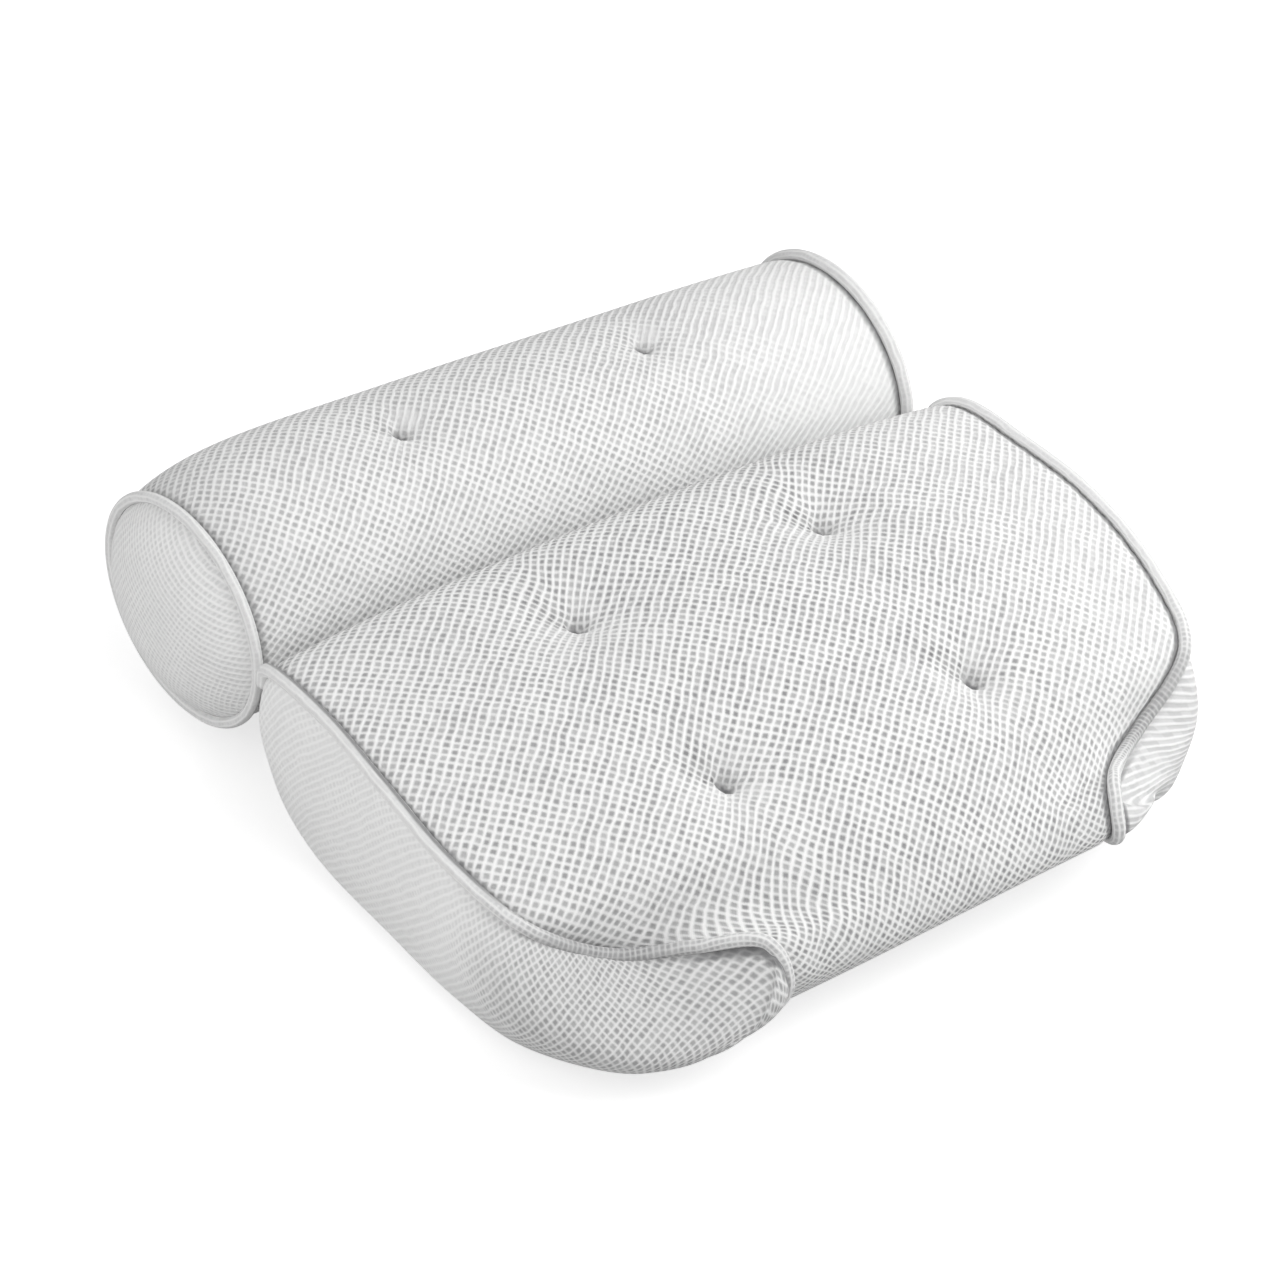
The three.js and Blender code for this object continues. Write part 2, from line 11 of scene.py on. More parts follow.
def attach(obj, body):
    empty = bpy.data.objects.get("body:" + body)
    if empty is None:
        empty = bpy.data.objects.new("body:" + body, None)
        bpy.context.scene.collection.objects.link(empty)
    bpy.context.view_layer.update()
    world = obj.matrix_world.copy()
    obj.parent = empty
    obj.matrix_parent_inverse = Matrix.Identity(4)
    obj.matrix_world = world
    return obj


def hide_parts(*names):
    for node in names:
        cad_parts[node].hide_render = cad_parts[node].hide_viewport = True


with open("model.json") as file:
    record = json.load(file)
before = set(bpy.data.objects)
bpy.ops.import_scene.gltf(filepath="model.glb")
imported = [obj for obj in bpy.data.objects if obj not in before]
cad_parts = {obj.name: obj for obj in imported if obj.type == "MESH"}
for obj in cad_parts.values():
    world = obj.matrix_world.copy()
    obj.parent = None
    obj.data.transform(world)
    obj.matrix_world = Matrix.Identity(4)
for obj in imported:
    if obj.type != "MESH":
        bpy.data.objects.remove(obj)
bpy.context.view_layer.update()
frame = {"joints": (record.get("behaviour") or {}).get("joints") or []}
scene = bpy.context.scene

# Camera: a long lens from the front left and above, turned a little about its own axis.
CAMERA_AZIMUTH, CAMERA_ELEVATION, CAMERA_ROLL = map(math.radians, (-40.81, 38.62, 6.06))
CAMERA_DISTANCE = 2.824
CAMERA_LENS = 181.9
CAMERA_TARGET = Vector((0.0, 0.01932, 0.021))  # where the optical axis of the picture passes
AIM_RIGHT, AIM_UP = -0.0074, 0.0194  # from there to the middle of the picture
flat = Vector((math.sin(CAMERA_AZIMUTH), -math.cos(CAMERA_AZIMUTH), 0))
level = Vector((math.cos(CAMERA_AZIMUTH), math.sin(CAMERA_AZIMUTH), 0))
back = flat * math.cos(CAMERA_ELEVATION) + Vector((0, 0, math.sin(CAMERA_ELEVATION)))
upright = back.cross(level)
right = level * math.cos(CAMERA_ROLL) + upright * math.sin(CAMERA_ROLL)
up = upright * math.cos(CAMERA_ROLL) - level * math.sin(CAMERA_ROLL)

camera = bpy.data.objects.new("camera", bpy.data.cameras.new("camera"))
scene.collection.objects.link(camera)
scene.camera = camera
camera.data.lens = CAMERA_LENS
camera.data.sensor_width = 36
camera.data.clip_end = 20
camera.location = CAMERA_TARGET + back * CAMERA_DISTANCE
aim = CAMERA_TARGET + right * AIM_RIGHT + up * AIM_UP
back = (camera.location - aim).normalized()
right = up.cross(back).normalized()
camera.rotation_mode = "QUATERNION"
camera.rotation_quaternion = Matrix((right, back.cross(right), back)).transposed().to_quaternion()

# Body cushion: a boxed cushion of white spacer mesh round loose filling. The face panel runs from
# the fold over the crown and down the nose. Gussets close the sides and wrap round the toes as
# tongues, and all are sewn to the back cloth. Millimetres: x across, y from the fold, z up.
MM = 0.001
FOLD = Vector(next(j for j in frame["joints"] if j["name"] == "roll_fold")["pos_m"]) / MM
UNDERSIDE = 6  # the back cloth lies this far above the floor
CROWN, SIDE, CORNER, TONGUE, NOSE = 98, 84, 41, 53, 32  # heights above the underside
HALF_WIDTH, NOSE_Y, TIP, HEM_X, HEM_Y = 189, -253, 87, 184, -229
# From the fold to the foot of the nose: middle of the face (y, z), side seam and hem (x, y, z).
STATIONS = [
    [(-4.8, 53.5), (178, -4.8, 54), (178, -7.8, 46)],
    [(-8.8, CROWN - 16), (180, -6.8, SIDE - 14), (HEM_X, -13, 38)],
    [(-25.8, CROWN - 3), (184, -20, SIDE - 4), (HEM_X + 1, -28, 17)],
    [(-64, CROWN), (186, -60, SIDE), (HEM_X, -54, 3)],
    [(-112, CROWN), (HALF_WIDTH, -104, SIDE - 2), (HEM_X, -108, 0)],
    [(NOSE_Y + 95, CROWN - 7), (187, NOSE_Y + 103, SIDE - 12), (HEM_X, NOSE_Y + 98, 0)],
    [(NOSE_Y + 57, CROWN - 18), (175, NOSE_Y + 65, SIDE - 24), (HEM_X - 6, NOSE_Y + 59, 0)],
    [(NOSE_Y + 33, CROWN - 30), (TIP + 53, NOSE_Y + 50, CORNER), (HEM_X - 26, HEM_Y + 6, 0)],
    [(NOSE_Y + 17, CROWN - 42), (TIP + 25, NOSE_Y + 32, TONGUE - 7), (TIP + 57, HEM_Y - 2, 0)],
    [(NOSE_Y + 7, NOSE + 15), (TIP + 4, NOSE_Y + 12, TONGUE), (TIP + 48, HEM_Y - 3, 0.5)],
    [(NOSE_Y, NOSE), (TIP, NOSE_Y + 1, NOSE + 5), (TIP + 37, HEM_Y - 2, 1)],
    [(NOSE_Y + 8, 13), (TIP + 5, NOSE_Y + 6, NOSE - 15), (TIP + 28, HEM_Y - 1, 1.5)],
    [(HEM_Y + 10, 0), (TIP + 17, HEM_Y, 2), (TIP + 17, HEM_Y, 2)],
]
LAST = len(STATIONS) - 1
CROWN_POWER = 2.6  # how flat the crown is across
SIDE_BULGE = 5
TOE_BULGE = {-1: 29, 1: 5}  # left, right
TONGUE_BULGE = {-1: 0, 1: 3}  # under the tongue


def smooth(low, high, value):
    t = np.clip((np.asarray(value, float) - low) / (high - low), 0, 1)
    return t * t * (3 - 2 * t)


def route(points):
    """A smooth curve through the points, closer to the chord where they lie close together."""
    points = np.asarray(points, float)
    points = np.vstack([2 * points[0] - points[1], points, 2 * points[-1] - points[-2]])
    steps = np.maximum(np.linalg.norm(np.diff(points, axis=0), axis=1) ** 0.5, 1e-2)[:, None]

    def at(t):
        place = np.clip(np.asarray(t, float), 0, 1) * (len(points) - 3)
        k = np.minimum(place.astype(int), len(points) - 4)
        w = (place - k)[:, None]
        p0, p1, p2, p3 = (points[k + i] for i in range(4))
        d0, d1, d2 = (steps[k + i] for i in range(3))
        t1 = ((p1 - p0) / d0 - (p2 - p0) / (d0 + d1) + (p2 - p1) / d1) * d1
        t2 = ((p2 - p1) / d1 - (p3 - p1) / (d1 + d2) + (p3 - p2) / d2) * d1
        return p1 + t1 * w + (3 * (p2 - p1) - 2 * t1 - t2) * w**2 + (2 * (p1 - p2) + t1 + t2) * w**3

    return at


middle = route([(0, m[0], m[1] + UNDERSIDE) for m, _, _ in STATIONS])
seam = route([(s[0], s[1], s[2] + UNDERSIDE) for _, s, _ in STATIONS])
hem = route([(h[0], h[1], h[2] + UNDERSIDE) for _, _, h in STATIONS])

# Six tufts, in pairs: each is tied through the filling to the suction cup below it.
TUFT_X = 66
TUFTS = {"roll": (63, 7, 17), "back": (-68, 15, 17), "front": (-173, 15, 17)}  # y, depth, reach


def pinch(x, y, names):
    """How deep these tufts pull the cloth down at x, y."""
    total = 0
    for name in names:
        place, depth, reach = TUFTS[name]
        total = total + depth * np.exp(-np.hypot(np.abs(x) - TUFT_X, y - place) / reach)
    return total


def face_place(across, t):
    """The face at across, from -1 to 1, and t, from 0 at the fold to 1 at the foot of the nose."""
    edge, mid, at = seam(t), middle(t), t * LAST
    rise = 1 - np.abs(across) ** CROWN_POWER
    x = across * edge[:, 0]
    y = edge[:, 1] + (mid[:, 1] - edge[:, 1]) * rise
    z = edge[:, 2] + (mid[:, 2] - edge[:, 2]) * rise
    loose = smooth(0, 0.5, 1 - np.abs(across)) * smooth(0, 2, at) * (1 - smooth(7, 9, at))
    return np.stack([x, y, z - pinch(x, y, ("back", "front")) * loose], -1)


SEAT_HEIGHT, SEAT_FLAT, SEAT_REACH = 12, 20, 45  # the flat seat of a cup, and where it runs out


def seated(p):
    """The underside is drawn up flat round each cup."""
    for place, _, _ in TUFTS.values():
        r = np.hypot(np.abs(p[:, 0]) - TUFT_X, p[:, 1] - place)
        p[:, 2] += (SEAT_HEIGHT - p[:, 2]) * (1 - smooth(SEAT_FLAT, SEAT_REACH, r))
    return p


def back_place(across, t):
    """The back cloth, at the same across and t as the face above it."""
    edge = hem(t)
    front = np.clip((t * LAST - 5) / (LAST - 5), 0, 1)
    start, end = hem(np.array([5 / LAST]))[0, 1], middle(np.array([1.0]))[0, 1]
    rise = 1 - np.abs(across) ** CROWN_POWER
    y = edge[:, 1] + np.where(front > 0, (start + (end - start) * front - edge[:, 1]) * rise, 0)
    p = seated(np.stack([across * edge[:, 0], y, edge[:, 2]], -1))
    ends = t > 1 - 1e-6
    p[ends] = face_place(across[ends], t[ends])
    return p


DRAWN_BACK, DRAWN_UP = 10, 13


def settled(p):
    """The filling has settled to the left, so the lower nose is drawn up towards the right."""
    p = np.array(p, float)
    start = 185 - 24 * smooth(105, 150, p[:, 0])
    share = smooth(start, 238, -p[:, 1]) * (1 - smooth(10, 50, p[:, 2]))
    share *= 0.15 + 0.85 * smooth(-130, 130, p[:, 0])
    p[:, 1] += DRAWN_BACK * share
    p[:, 2] += DRAWN_UP * share
    return p


def unit(v):
    return v / np.linalg.norm(v, axis=1)[:, None]


def gusset_place(t, down, side):
    """Down the gusset of the right side; the sides differ in how full the toe is."""
    at, top, low = t * LAST, seam(t), hem(t)
    turn = math.pi / 2 * smooth(4.5, 7.5, at)
    out = np.stack([np.cos(turn), -np.sin(turn), 0 * turn], -1)
    toe = smooth(4.5, 7, at) * (1 - smooth(8.5, 12, at))
    fade = smooth(-0.3, 1.2, at) * np.minimum(1, (LAST - at) / 1.5)
    bulge = (SIDE_BULGE + (TOE_BULGE[side] - SIDE_BULGE) * toe) * fade
    setback = np.maximum(0, ((low - top) * out).sum(1))
    along = seam(t + 0.002) - seam(t - 0.002)
    leave = unit(np.cross(out, along)) * 0.25 * np.linalg.norm(low - top, axis=1)[:, None]
    a = top + leave + out * (0.75 * setback + bulge)[:, None]
    under = TONGUE_BULGE[side] * np.exp(-(((at - 9.4) / 1.1) ** 2))
    b = low + out * (1.6 * bulge + under)[:, None]
    b[:, 2] += 0.45 * (top[:, 2] - low[:, 2])
    d = down[:, None]
    return top * (1 - d) ** 3 + 3 * a * d * (1 - d) ** 2 + 3 * b * d**2 * (1 - d) + low * d**3


def lengths(points):
    """Length along the points, or down the rows of points."""
    steps = np.linalg.norm(np.diff(points, axis=0, prepend=points[:1]), axis=-1)
    return np.cumsum(steps, axis=0)


# Rows lie closer at the ends of the side seam than along its middle.
BODY_ROWS, BODY_COLUMNS, GUSSET_COLUMNS = 60, 60, 14
many = np.linspace(0, 1, 2001)
run = lengths(seam(many))
row_t = (np.interp(np.linspace(0, run[-1], 2001), run, many) + many) / 2


def at_row(share):
    """The t of the row at this share of the rows."""
    return np.interp(share, many, row_t)


def patch(columns, rows, place):
    """A flat grid shaped by place(a, b), a from -1 to 1 and b from 0 to 1, with its cloth map."""
    mesh = bmesh.new()
    bmesh.ops.create_grid(mesh, x_segments=columns, y_segments=rows, size=1)
    flat = np.array([v.co for v in mesh.verts])
    points, cloth = place(flat[:, 0], (flat[:, 1] + 1) / 2)
    layer = mesh.loops.layers.uv.new("cloth")
    for v, p in zip(mesh.verts, points):
        v.co = (Vector(p) + Vector((0, FOLD.y, 0))) * MM
    for f in mesh.faces:
        for loop in f.loops:
            loop[layer].uv = cloth[loop.vert.index]
    return mesh


# Lengths along the cloth of the face, from a row on the crown.
MAP_ROWS, MAP_COLUMNS, MAP_DEPTH = 200, 96, 20
MAP_X = np.linspace(-192, 192, MAP_COLUMNS + 1)
MAP_T = np.linspace(0, 1, MAP_ROWS + 1)
CROWN_ROW, FOOT_ROW, FOOT_COLUMN = 80, 178, 70  # the foot of a tongue is where the rows gather
grid_x, grid_t = np.meshgrid(MAP_X, MAP_T)
reach = seam(MAP_T)[:, 0][:, None]
walked = face_place(np.clip(grid_x / reach, -1, 1).ravel(), grid_t.ravel())
face_length = lengths(walked.reshape(*grid_x.shape, 3))
face_length -= face_length[CROWN_ROW]
GATHER = -face_length[FOOT_ROW, FOOT_COLUMN]
GATHERED, GATHER_WIDE, GATHER_LONG = 18, 34, 20


def read_map(grid, row, column):
    """The value at a place between the rows and columns of the grid."""
    j, i = (np.minimum(at.astype(int), size - 2) for at, size in zip((row, column), grid.shape))
    fj, fi = row - j, column - i
    near = grid[j, i] * (1 - fi) + grid[j, i + 1] * fi
    far = grid[j + 1, i] * (1 - fi) + grid[j + 1, i + 1] * fi
    return near * (1 - fj) + far * fj


def drawn_in(x, y, names, pull):
    """How far the cloth is drawn towards the tufts at x, y."""
    u, v = 0 * x, 0 * y
    for name in names:
        for side in (-1, 1):
            dx, dy = x - side * TUFT_X, y - TUFTS[name][0]
            r = np.hypot(dx, dy) + 1e-6
            k = pull * (1 - np.exp(-r / 6)) * np.exp(-r / 35) / r
            u, v = u + dx * k, v + dy * k
    return u, v


def face_patch(a, b):
    t = at_row(1 - b)
    p = face_place(a, t)
    column = np.interp(p[:, 0], MAP_X, np.arange(len(MAP_X)))
    du, dv = drawn_in(p[:, 0], p[:, 1], ("back", "front"), 4.5)
    low = smooth(6.5, 9.5, t * LAST)
    beside = np.exp(-(((np.abs(p[:, 0]) - TIP) / GATHER_WIDE) ** 2)) * low
    v = dv - read_map(face_length, t * MAP_ROWS, column)
    v += GATHERED * beside * (np.tanh((v - GATHER) / GATHER_LONG) - 1)
    return settled(p), np.stack([(p[:, 0] + du) * (1 + 0.2 * low), v], -1)


def back_patch(a, b):
    p = back_place(a, at_row(b))
    return settled(p), p[:, :2]


grid_d, grid_t = np.meshgrid(np.linspace(0, 1, MAP_DEPTH + 1), MAP_T, indexing="ij")
walked = gusset_place(grid_t.ravel(), grid_d.ravel(), -1).reshape(*grid_t.shape, 3)
down_length, along_length = lengths(walked), lengths(walked[MAP_DEPTH // 2])


def left_cloth(t, down):
    """The left gusset's cloth follows its middle line and hangs down from the side seam."""
    depth = read_map(down_length, down * MAP_DEPTH, t * MAP_ROWS)
    return 1.25 * np.interp(t, MAP_T, along_length), -1.1 * depth


TOE_X, TOE_Y, TOE_RADIUS = 110, -160, 70  # the right gusset's cloth turns round this upright axis
RIB_RISE = np.array([0.38, 0.45, 0.88])  # across its ribs, which rise towards the tongue


def right_cloth(p):
    ahead, across = TOE_Y - p[:, 1], p[:, 0] - TOE_X
    turned_by = TOE_RADIUS * np.arctan2(np.maximum(ahead, 0), np.maximum(across, 0))
    round_toe = np.minimum(ahead, 0) + turned_by - np.minimum(across, 0)
    up, along = p @ RIB_RISE, 0.45 * p[:, 2] + 0.89 * round_toe
    return (up + along) / math.sqrt(2), (up - along) / math.sqrt(2)


def gusset_patch(side):
    def place(a, b):
        t = at_row((1 - side * a) / 2)
        p = gusset_place(t, 1 - b, side)
        p[:, 0] *= side
        cloth = right_cloth(p) if side > 0 else left_cloth(t, 1 - b)
        return settled(p), np.stack(cloth, -1)

    return place


def rear_patch(a, b):
    """The strip of back cloth that turns up to the fold. Its sides follow the gussets."""
    start = np.zeros_like(a)
    low, high = back_place(a, start), face_place(a, start)
    down = b[:, None]
    bow = gusset_place(start, b, 1) - seam(start) * (1 - down) - hem(start) * down
    bow[:, 0] *= np.sign(a)
    p = settled(low * down + high * (1 - down) + bow * np.abs(a[:, None]) ** 8)
    return p, np.stack([p[:, 0], p[:, 2]], -1)


body_patches = {
    "body_face": patch(BODY_COLUMNS, BODY_ROWS, face_patch),
    "body_back": patch(BODY_COLUMNS, BODY_ROWS, back_patch),
    "gusset_right": patch(BODY_ROWS, GUSSET_COLUMNS, gusset_patch(1)),
    "gusset_left": patch(BODY_ROWS, GUSSET_COLUMNS, gusset_patch(-1)),
}
rear = patch(BODY_COLUMNS, GUSSET_COLUMNS, rear_patch)
FILLING_PRESSURE, MOST_SWELL, SWELL_FRAMES = 3, 4, 20


def vectors(data, what):
    values = np.zeros(len(data.vertices) * 3)
    data.vertices.foreach_get(what, values)
    return values.reshape(-1, 3)


def tree_of(points):
    tree = KDTree(len(points))
    for i, p in enumerate(points):
        tree.insert(p, i)
    tree.balance()
    return tree


def inflate(patches, held):
    """The filling presses the sewn panels outwards while the seams and tufts hold."""
    shell = bmesh.new()
    for part in patches:
        kept = bpy.data.meshes.new("part")
        part.to_mesh(kept)
        shell.from_mesh(kept)
    bmesh.ops.remove_doubles(shell, verts=shell.verts, dist=2e-5)
    mesh = bpy.data.meshes.new("shell")
    shell.to_mesh(mesh)
    cushion = bpy.data.objects.new("shell", mesh)
    scene.collection.objects.link(cushion)
    start = vectors(mesh, "co")
    group = cushion.vertex_groups.new(name="held")
    for i, weight in enumerate(held(start / MM - np.array([0, FOLD.y, 0]))):
        group.add([i], float(weight), "REPLACE")
    cloth = cushion.modifiers.new("cloth", "CLOTH").settings
    cloth.quality = 6
    cloth.mass = 0.2
    cloth.tension_stiffness = cloth.compression_stiffness = 25
    cloth.shear_stiffness = 8
    cloth.bending_stiffness = 1.5
    cloth.vertex_group_mass = "held"
    cloth.use_pressure = True
    cloth.uniform_pressure_force = FILLING_PRESSURE
    cloth.effector_weights.gravity = 0
    cushion.modifiers["cloth"].collision_settings.use_collision = False
    for number in range(1, SWELL_FRAMES + 1):
        scene.frame_set(number)
    swollen = cushion.evaluated_get(bpy.context.evaluated_depsgraph_get()).data
    moved = vectors(swollen, "co") - start
    length = np.linalg.norm(moved, axis=1)
    moved *= np.minimum(1, MOST_SWELL * MM / np.maximum(length, 1e-9))[:, None]
    tree = tree_of(start)
    for part in patches:
        for v in part.verts:
            v.co += Vector(moved[tree.find(v.co)[1]])
    bpy.data.objects.remove(cushion)
    scene.frame_set(1)


seam_points = settled(np.vstack([seam(many[::4]) * (side, 1, 1) for side in (-1, 1)]))
hem_points = settled(np.vstack([hem(many[::8]) * (side, 1, 1) for side in (-1, 1)]))


def line_place(points, lines):
    """Distance to the lines, and the number of the nearest point on them."""
    tree = tree_of(lines)
    found = [tree.find(p) for p in points]
    return np.array([f[2] for f in found]), np.array([f[1] for f in found])


def nearness(points, lines, reach):
    """1 on the lines, falling to 0 at reach."""
    return 1 - smooth(0, reach, line_place(points, lines)[0])


def tuft_hold(p, names, near, far):
    """1 at these tufts, falling to 0 between near and far, and 1 on the cup seats below."""
    weight = 0
    for name in names:
        r = np.hypot(np.abs(p[:, 0]) - TUFT_X, p[:, 1] - TUFTS[name][0])
        above, below = 1 - smooth(near, far, r), 1 - smooth(30, 60, r)
        weight = np.maximum(weight, np.where(p[:, 2] < 20, below, above))
    return weight


def body_held(p):
    """Where the filling can't move the cloth: seams, tufts, cup seats, fold and underside."""
    right_toe = smooth(180, 205, -p[:, 1]) * smooth(95, 110, p[:, 0])  # its hem gives way
    at_hem = nearness(p, hem_points, 12) * (1 - 0.9 * right_toe)
    return np.maximum.reduce([
        nearness(p, seam_points, 14), at_hem, tuft_hold(p, ("back", "front"), 6, 30),
        1 - smooth(8, 30, -p[:, 1]), 1 - smooth(7, 20, p[:, 2]),
    ])


inflate([*body_patches.values(), rear], body_held)


def refine(data, tufts, lowest):
    """Divides the faces round these tufts, where the cloth bends most sharply."""
    fine = bmesh.new()
    fine.from_mesh(data)
    for radius in (13, 8):
        near = set()
        for v in fine.verts:
            x, y, z = v.co / MM - Vector((0, FOLD.y, 0))
            away = min(math.hypot(abs(x) - TUFT_X, y - TUFTS[name][0]) for name in tufts)
            if z > lowest and away < radius:
                near.add(v)
        faces = [f for f in fine.faces if all(v in near for v in f.verts)]
        edges = list(dict.fromkeys(e for f in faces for e in f.edges))
        bmesh.ops.subdivide_edges(fine, edges=edges, cuts=1, use_grid_fill=True)
    fine.to_mesh(data)


def new_piece(name, data):
    data.shade_smooth()
    piece = bpy.data.objects.new(name, data)
    scene.collection.objects.link(piece)
    return piece


def finished(name, mesh, levels, detail=None, close=False, tufts=(), lowest=0):
    """Subdivides a patch, shapes it in detail along its normals and makes it a smooth piece."""
    data = bpy.data.meshes.new(name)
    if close:
        bmesh.ops.remove_doubles(mesh, verts=mesh.verts, dist=1e-5)
    mesh.to_mesh(data)
    rough = bpy.data.objects.new(name + "_rough", data)
    scene.collection.objects.link(rough)
    finer = rough.modifiers.new("finer", "SUBSURF")
    finer.levels = finer.render_levels = levels
    finer.boundary_smooth = "PRESERVE_CORNERS"
    seen = rough.evaluated_get(bpy.context.evaluated_depsgraph_get())
    fine = bpy.data.meshes.new_from_object(seen)
    bpy.data.objects.remove(rough)
    fine.name = name
    if tufts:
        refine(fine, tufts, lowest)
    if detail:
        points, normals = vectors(fine, "co"), vectors(fine, "normal")
        points += normals * (detail(points / MM - np.array([0, FOLD.y, 0])) * MM)[:, None]
        fine.vertices.foreach_set("co", points.ravel())
    return new_piece(name, fine)


SLIT_WAY = math.radians(200)  # the side of a tuft that its slit lies on
PIT_DEPTH = 3.6
CREASES = (  # angle from the slit, depth, width as an angle
    (1.9, 0.9, 0.2), (-2.4, 0.8, 0.28), (2.9, 0.5, 0.2), (-1.2, 0.5, 0.16), (0.9, 0.35, 0.14),
)


def round_tufts(p, names, lowest):
    """For each tuft: offsets from it, radius, angle from the slit, and where the points count."""
    for name in names:
        for side in (-1, 1):
            dx, dy = p[:, 0] - side * TUFT_X, p[:, 1] - TUFTS[name][0]
            turn = np.angle(np.exp(1j * (np.arctan2(dy, dx) - SLIT_WAY)))
            yield dx, dy, np.hypot(dx, dy), turn, p[:, 2] > lowest


def slit_place(r, turn):
    """How far towards the slit, which bends round the tuft, and how far along it."""
    return r * np.cos(turn) + (r * np.sin(turn)) ** 2 / 14, r * np.sin(turn)


def tuft_detail(p, names, lowest):
    """A pit at each tuft, steepest at its slit, with creases that run out of it."""
    total = 0 * p[:, 0]
    for _, _, r, turn, here in round_tufts(p, names, lowest):
        toward, aside = slit_place(r, turn)
        pit = -PIT_DEPTH * smooth(-9, 0.5, toward) * (1 - smooth(1.2, 2.8, toward))
        pit = pit * np.exp(-((aside / 4.2) ** 2))
        lip = 0.5 * np.exp(-(((toward - 3.6) / 1.6) ** 2) - (aside / 5) ** 2)
        crease = 0
        for way, deep, wide in CREASES:
            off = np.angle(np.exp(1j * (turn - way)))
            crease = crease - deep * np.exp(-((off / wide) ** 2))
        total += (pit + lip + crease * np.exp(-(((r - 7) / 8) ** 2))) * here
    return total


def seam_groove(d, k, depth):
    """A groove along the seam, with the small uneven puckers that its stitching draws in."""
    pucker = np.sin(k * 0.62) + 0.6 * np.sin(k * 0.23 + 1)
    return -depth * np.exp(-((d / 4.5) ** 2)) + 0.16 * pucker * np.exp(-d / 8)


def corded(k):
    """1 along the side seam, 0 at its two ends, which no cord covers."""
    half = len(seam_points) // 2
    t = (k % half) / (half - 1)
    return smooth(0, 0.02, t) * (1 - smooth(0.95, 0.99, t))


FACE_LOW = 40  # round its tufts the face lies above this height


def face_detail(p):
    d, k = line_place(p, seam_points)
    return seam_groove(d, k, 1.6) * corded(k) + tuft_detail(p, ("back", "front"), FACE_LOW)


def gusset_detail(p):
    d, k = line_place(p, seam_points)
    return seam_groove(d, k, 1.4) * corded(k)


# The cloth of all panels: a knitted face with staggered holes over a fine inner layer. The holes
# lie on a square lattice at 45 degrees in the cloth map, which is in millimetres.
YARN_WANDER = 2.4
STITCHES = (7.2, 8.4)  # fine loops across and along the cloth


def new_group(name, place, inputs, outputs):
    group = bpy.data.node_groups.new(name, "ShaderNodeTree")
    group.interface.new_socket(name=place, in_out="INPUT", socket_type="NodeSocketVector")
    for way, labels in (("INPUT", inputs), ("OUTPUT", outputs)):
        for label in labels:
            group.interface.new_socket(name=label, in_out=way, socket_type="NodeSocketFloat")
    return group, group.nodes.new("NodeGroupInput"), group.nodes.new("NodeGroupOutput")


def calc(tree, operation, *values, clamp=False):
    node = tree.nodes.new("ShaderNodeMath")
    node.operation = operation
    node.use_clamp = clamp
    for socket, value in zip(node.inputs, values):
        if hasattr(value, "is_output"):
            tree.links.new(value, socket)
        else:
            socket.default_value = value
    return node.outputs[0]


def ramp(tree, value, low, high, out_low=0.0, out_high=1.0):
    node = tree.nodes.new("ShaderNodeMapRange")
    node.interpolation_type = "SMOOTHSTEP"
    tree.links.new(value, node.inputs["Value"])
    limits = {"From Min": low, "From Max": high, "To Min": out_low, "To Max": out_high}
    for label, number in limits.items():
        node.inputs[label].default_value = number
    return node.outputs["Result"]


def noise(tree, place, scale, detail):
    node = tree.nodes.new("ShaderNodeTexNoise")
    node.inputs["Scale"].default_value = scale
    node.inputs["Detail"].default_value = detail
    tree.links.new(place, node.inputs["Vector"])
    return node


group, gin, gout = new_group(
    "spacer_mesh", "Map", ("Pitch", "Open", "Along", "Across"), ("Hole", "Height", "Yarn")
)
wander = noise(group, gin.outputs["Map"], scale=0.09, detail=3)
split = group.nodes.new("ShaderNodeSeparateXYZ")
group.links.new(gin.outputs["Map"], split.inputs[0])
shift = group.nodes.new("ShaderNodeSeparateXYZ")
group.links.new(wander.outputs["Color"], shift.inputs[0])
u = calc(group, "MULTIPLY_ADD", shift.outputs["X"], YARN_WANDER, split.outputs["X"])
v = calc(group, "MULTIPLY_ADD", shift.outputs["Y"], YARN_WANDER, split.outputs["Y"])
rise = calc(group, "DIVIDE", calc(group, "ADD", u, v), gin.outputs["Pitch"])
fall = calc(group, "DIVIDE", calc(group, "SUBTRACT", u, v), gin.outputs["Pitch"])
fuzz = noise(group, gin.outputs["Map"], scale=2.6, detail=4)
patchy = noise(group, gin.outputs["Map"], scale=0.035, detail=2)
drift = ramp(group, patchy.outputs["Fac"], 0.35, 0.65, 0.4, 1.5)
ragged = calc(group, "MULTIPLY", calc(group, "SUBTRACT", fuzz.outputs["Fac"], 0.5), 0.3)
lanes = []
for way, joined in ((rise, "Along"), (fall, "Across")):
    away = calc(group, "MULTIPLY_ADD", calc(group, "PINGPONG", way, 0.5), 2.0, ragged)
    lane = ramp(group, calc(group, "DIVIDE", away, gin.outputs["Open"]), 0.35, 1.4, 1.0, 0.0)
    share = gin.outputs[joined]
    join = calc(group, "MULTIPLY", share, calc(group, "MAXIMUM", drift, share), clamp=True)
    lanes.append(calc(group, "MULTIPLY_ADD", calc(group, "SUBTRACT", 1.0, lane), join, lane))
cell = group.nodes.new("ShaderNodeCombineXYZ")
for socket, way in zip(cell.inputs, (rise, fall)):
    group.links.new(calc(group, "FLOOR", calc(group, "ADD", way, 0.5)), socket)
each = group.nodes.new("ShaderNodeTexWhiteNoise")
group.links.new(cell.outputs[0], each.inputs["Vector"])
hollow = calc(group, "MULTIPLY", *lanes)
# Each of the holes gets a painted shade a little deeper or lighter at random.
depth = ramp(group, each.outputs["Value"], 0.0, 1.0, 0.7, 1.0)
group.links.new(calc(group, "MULTIPLY", hollow, depth), gout.inputs["Hole"])
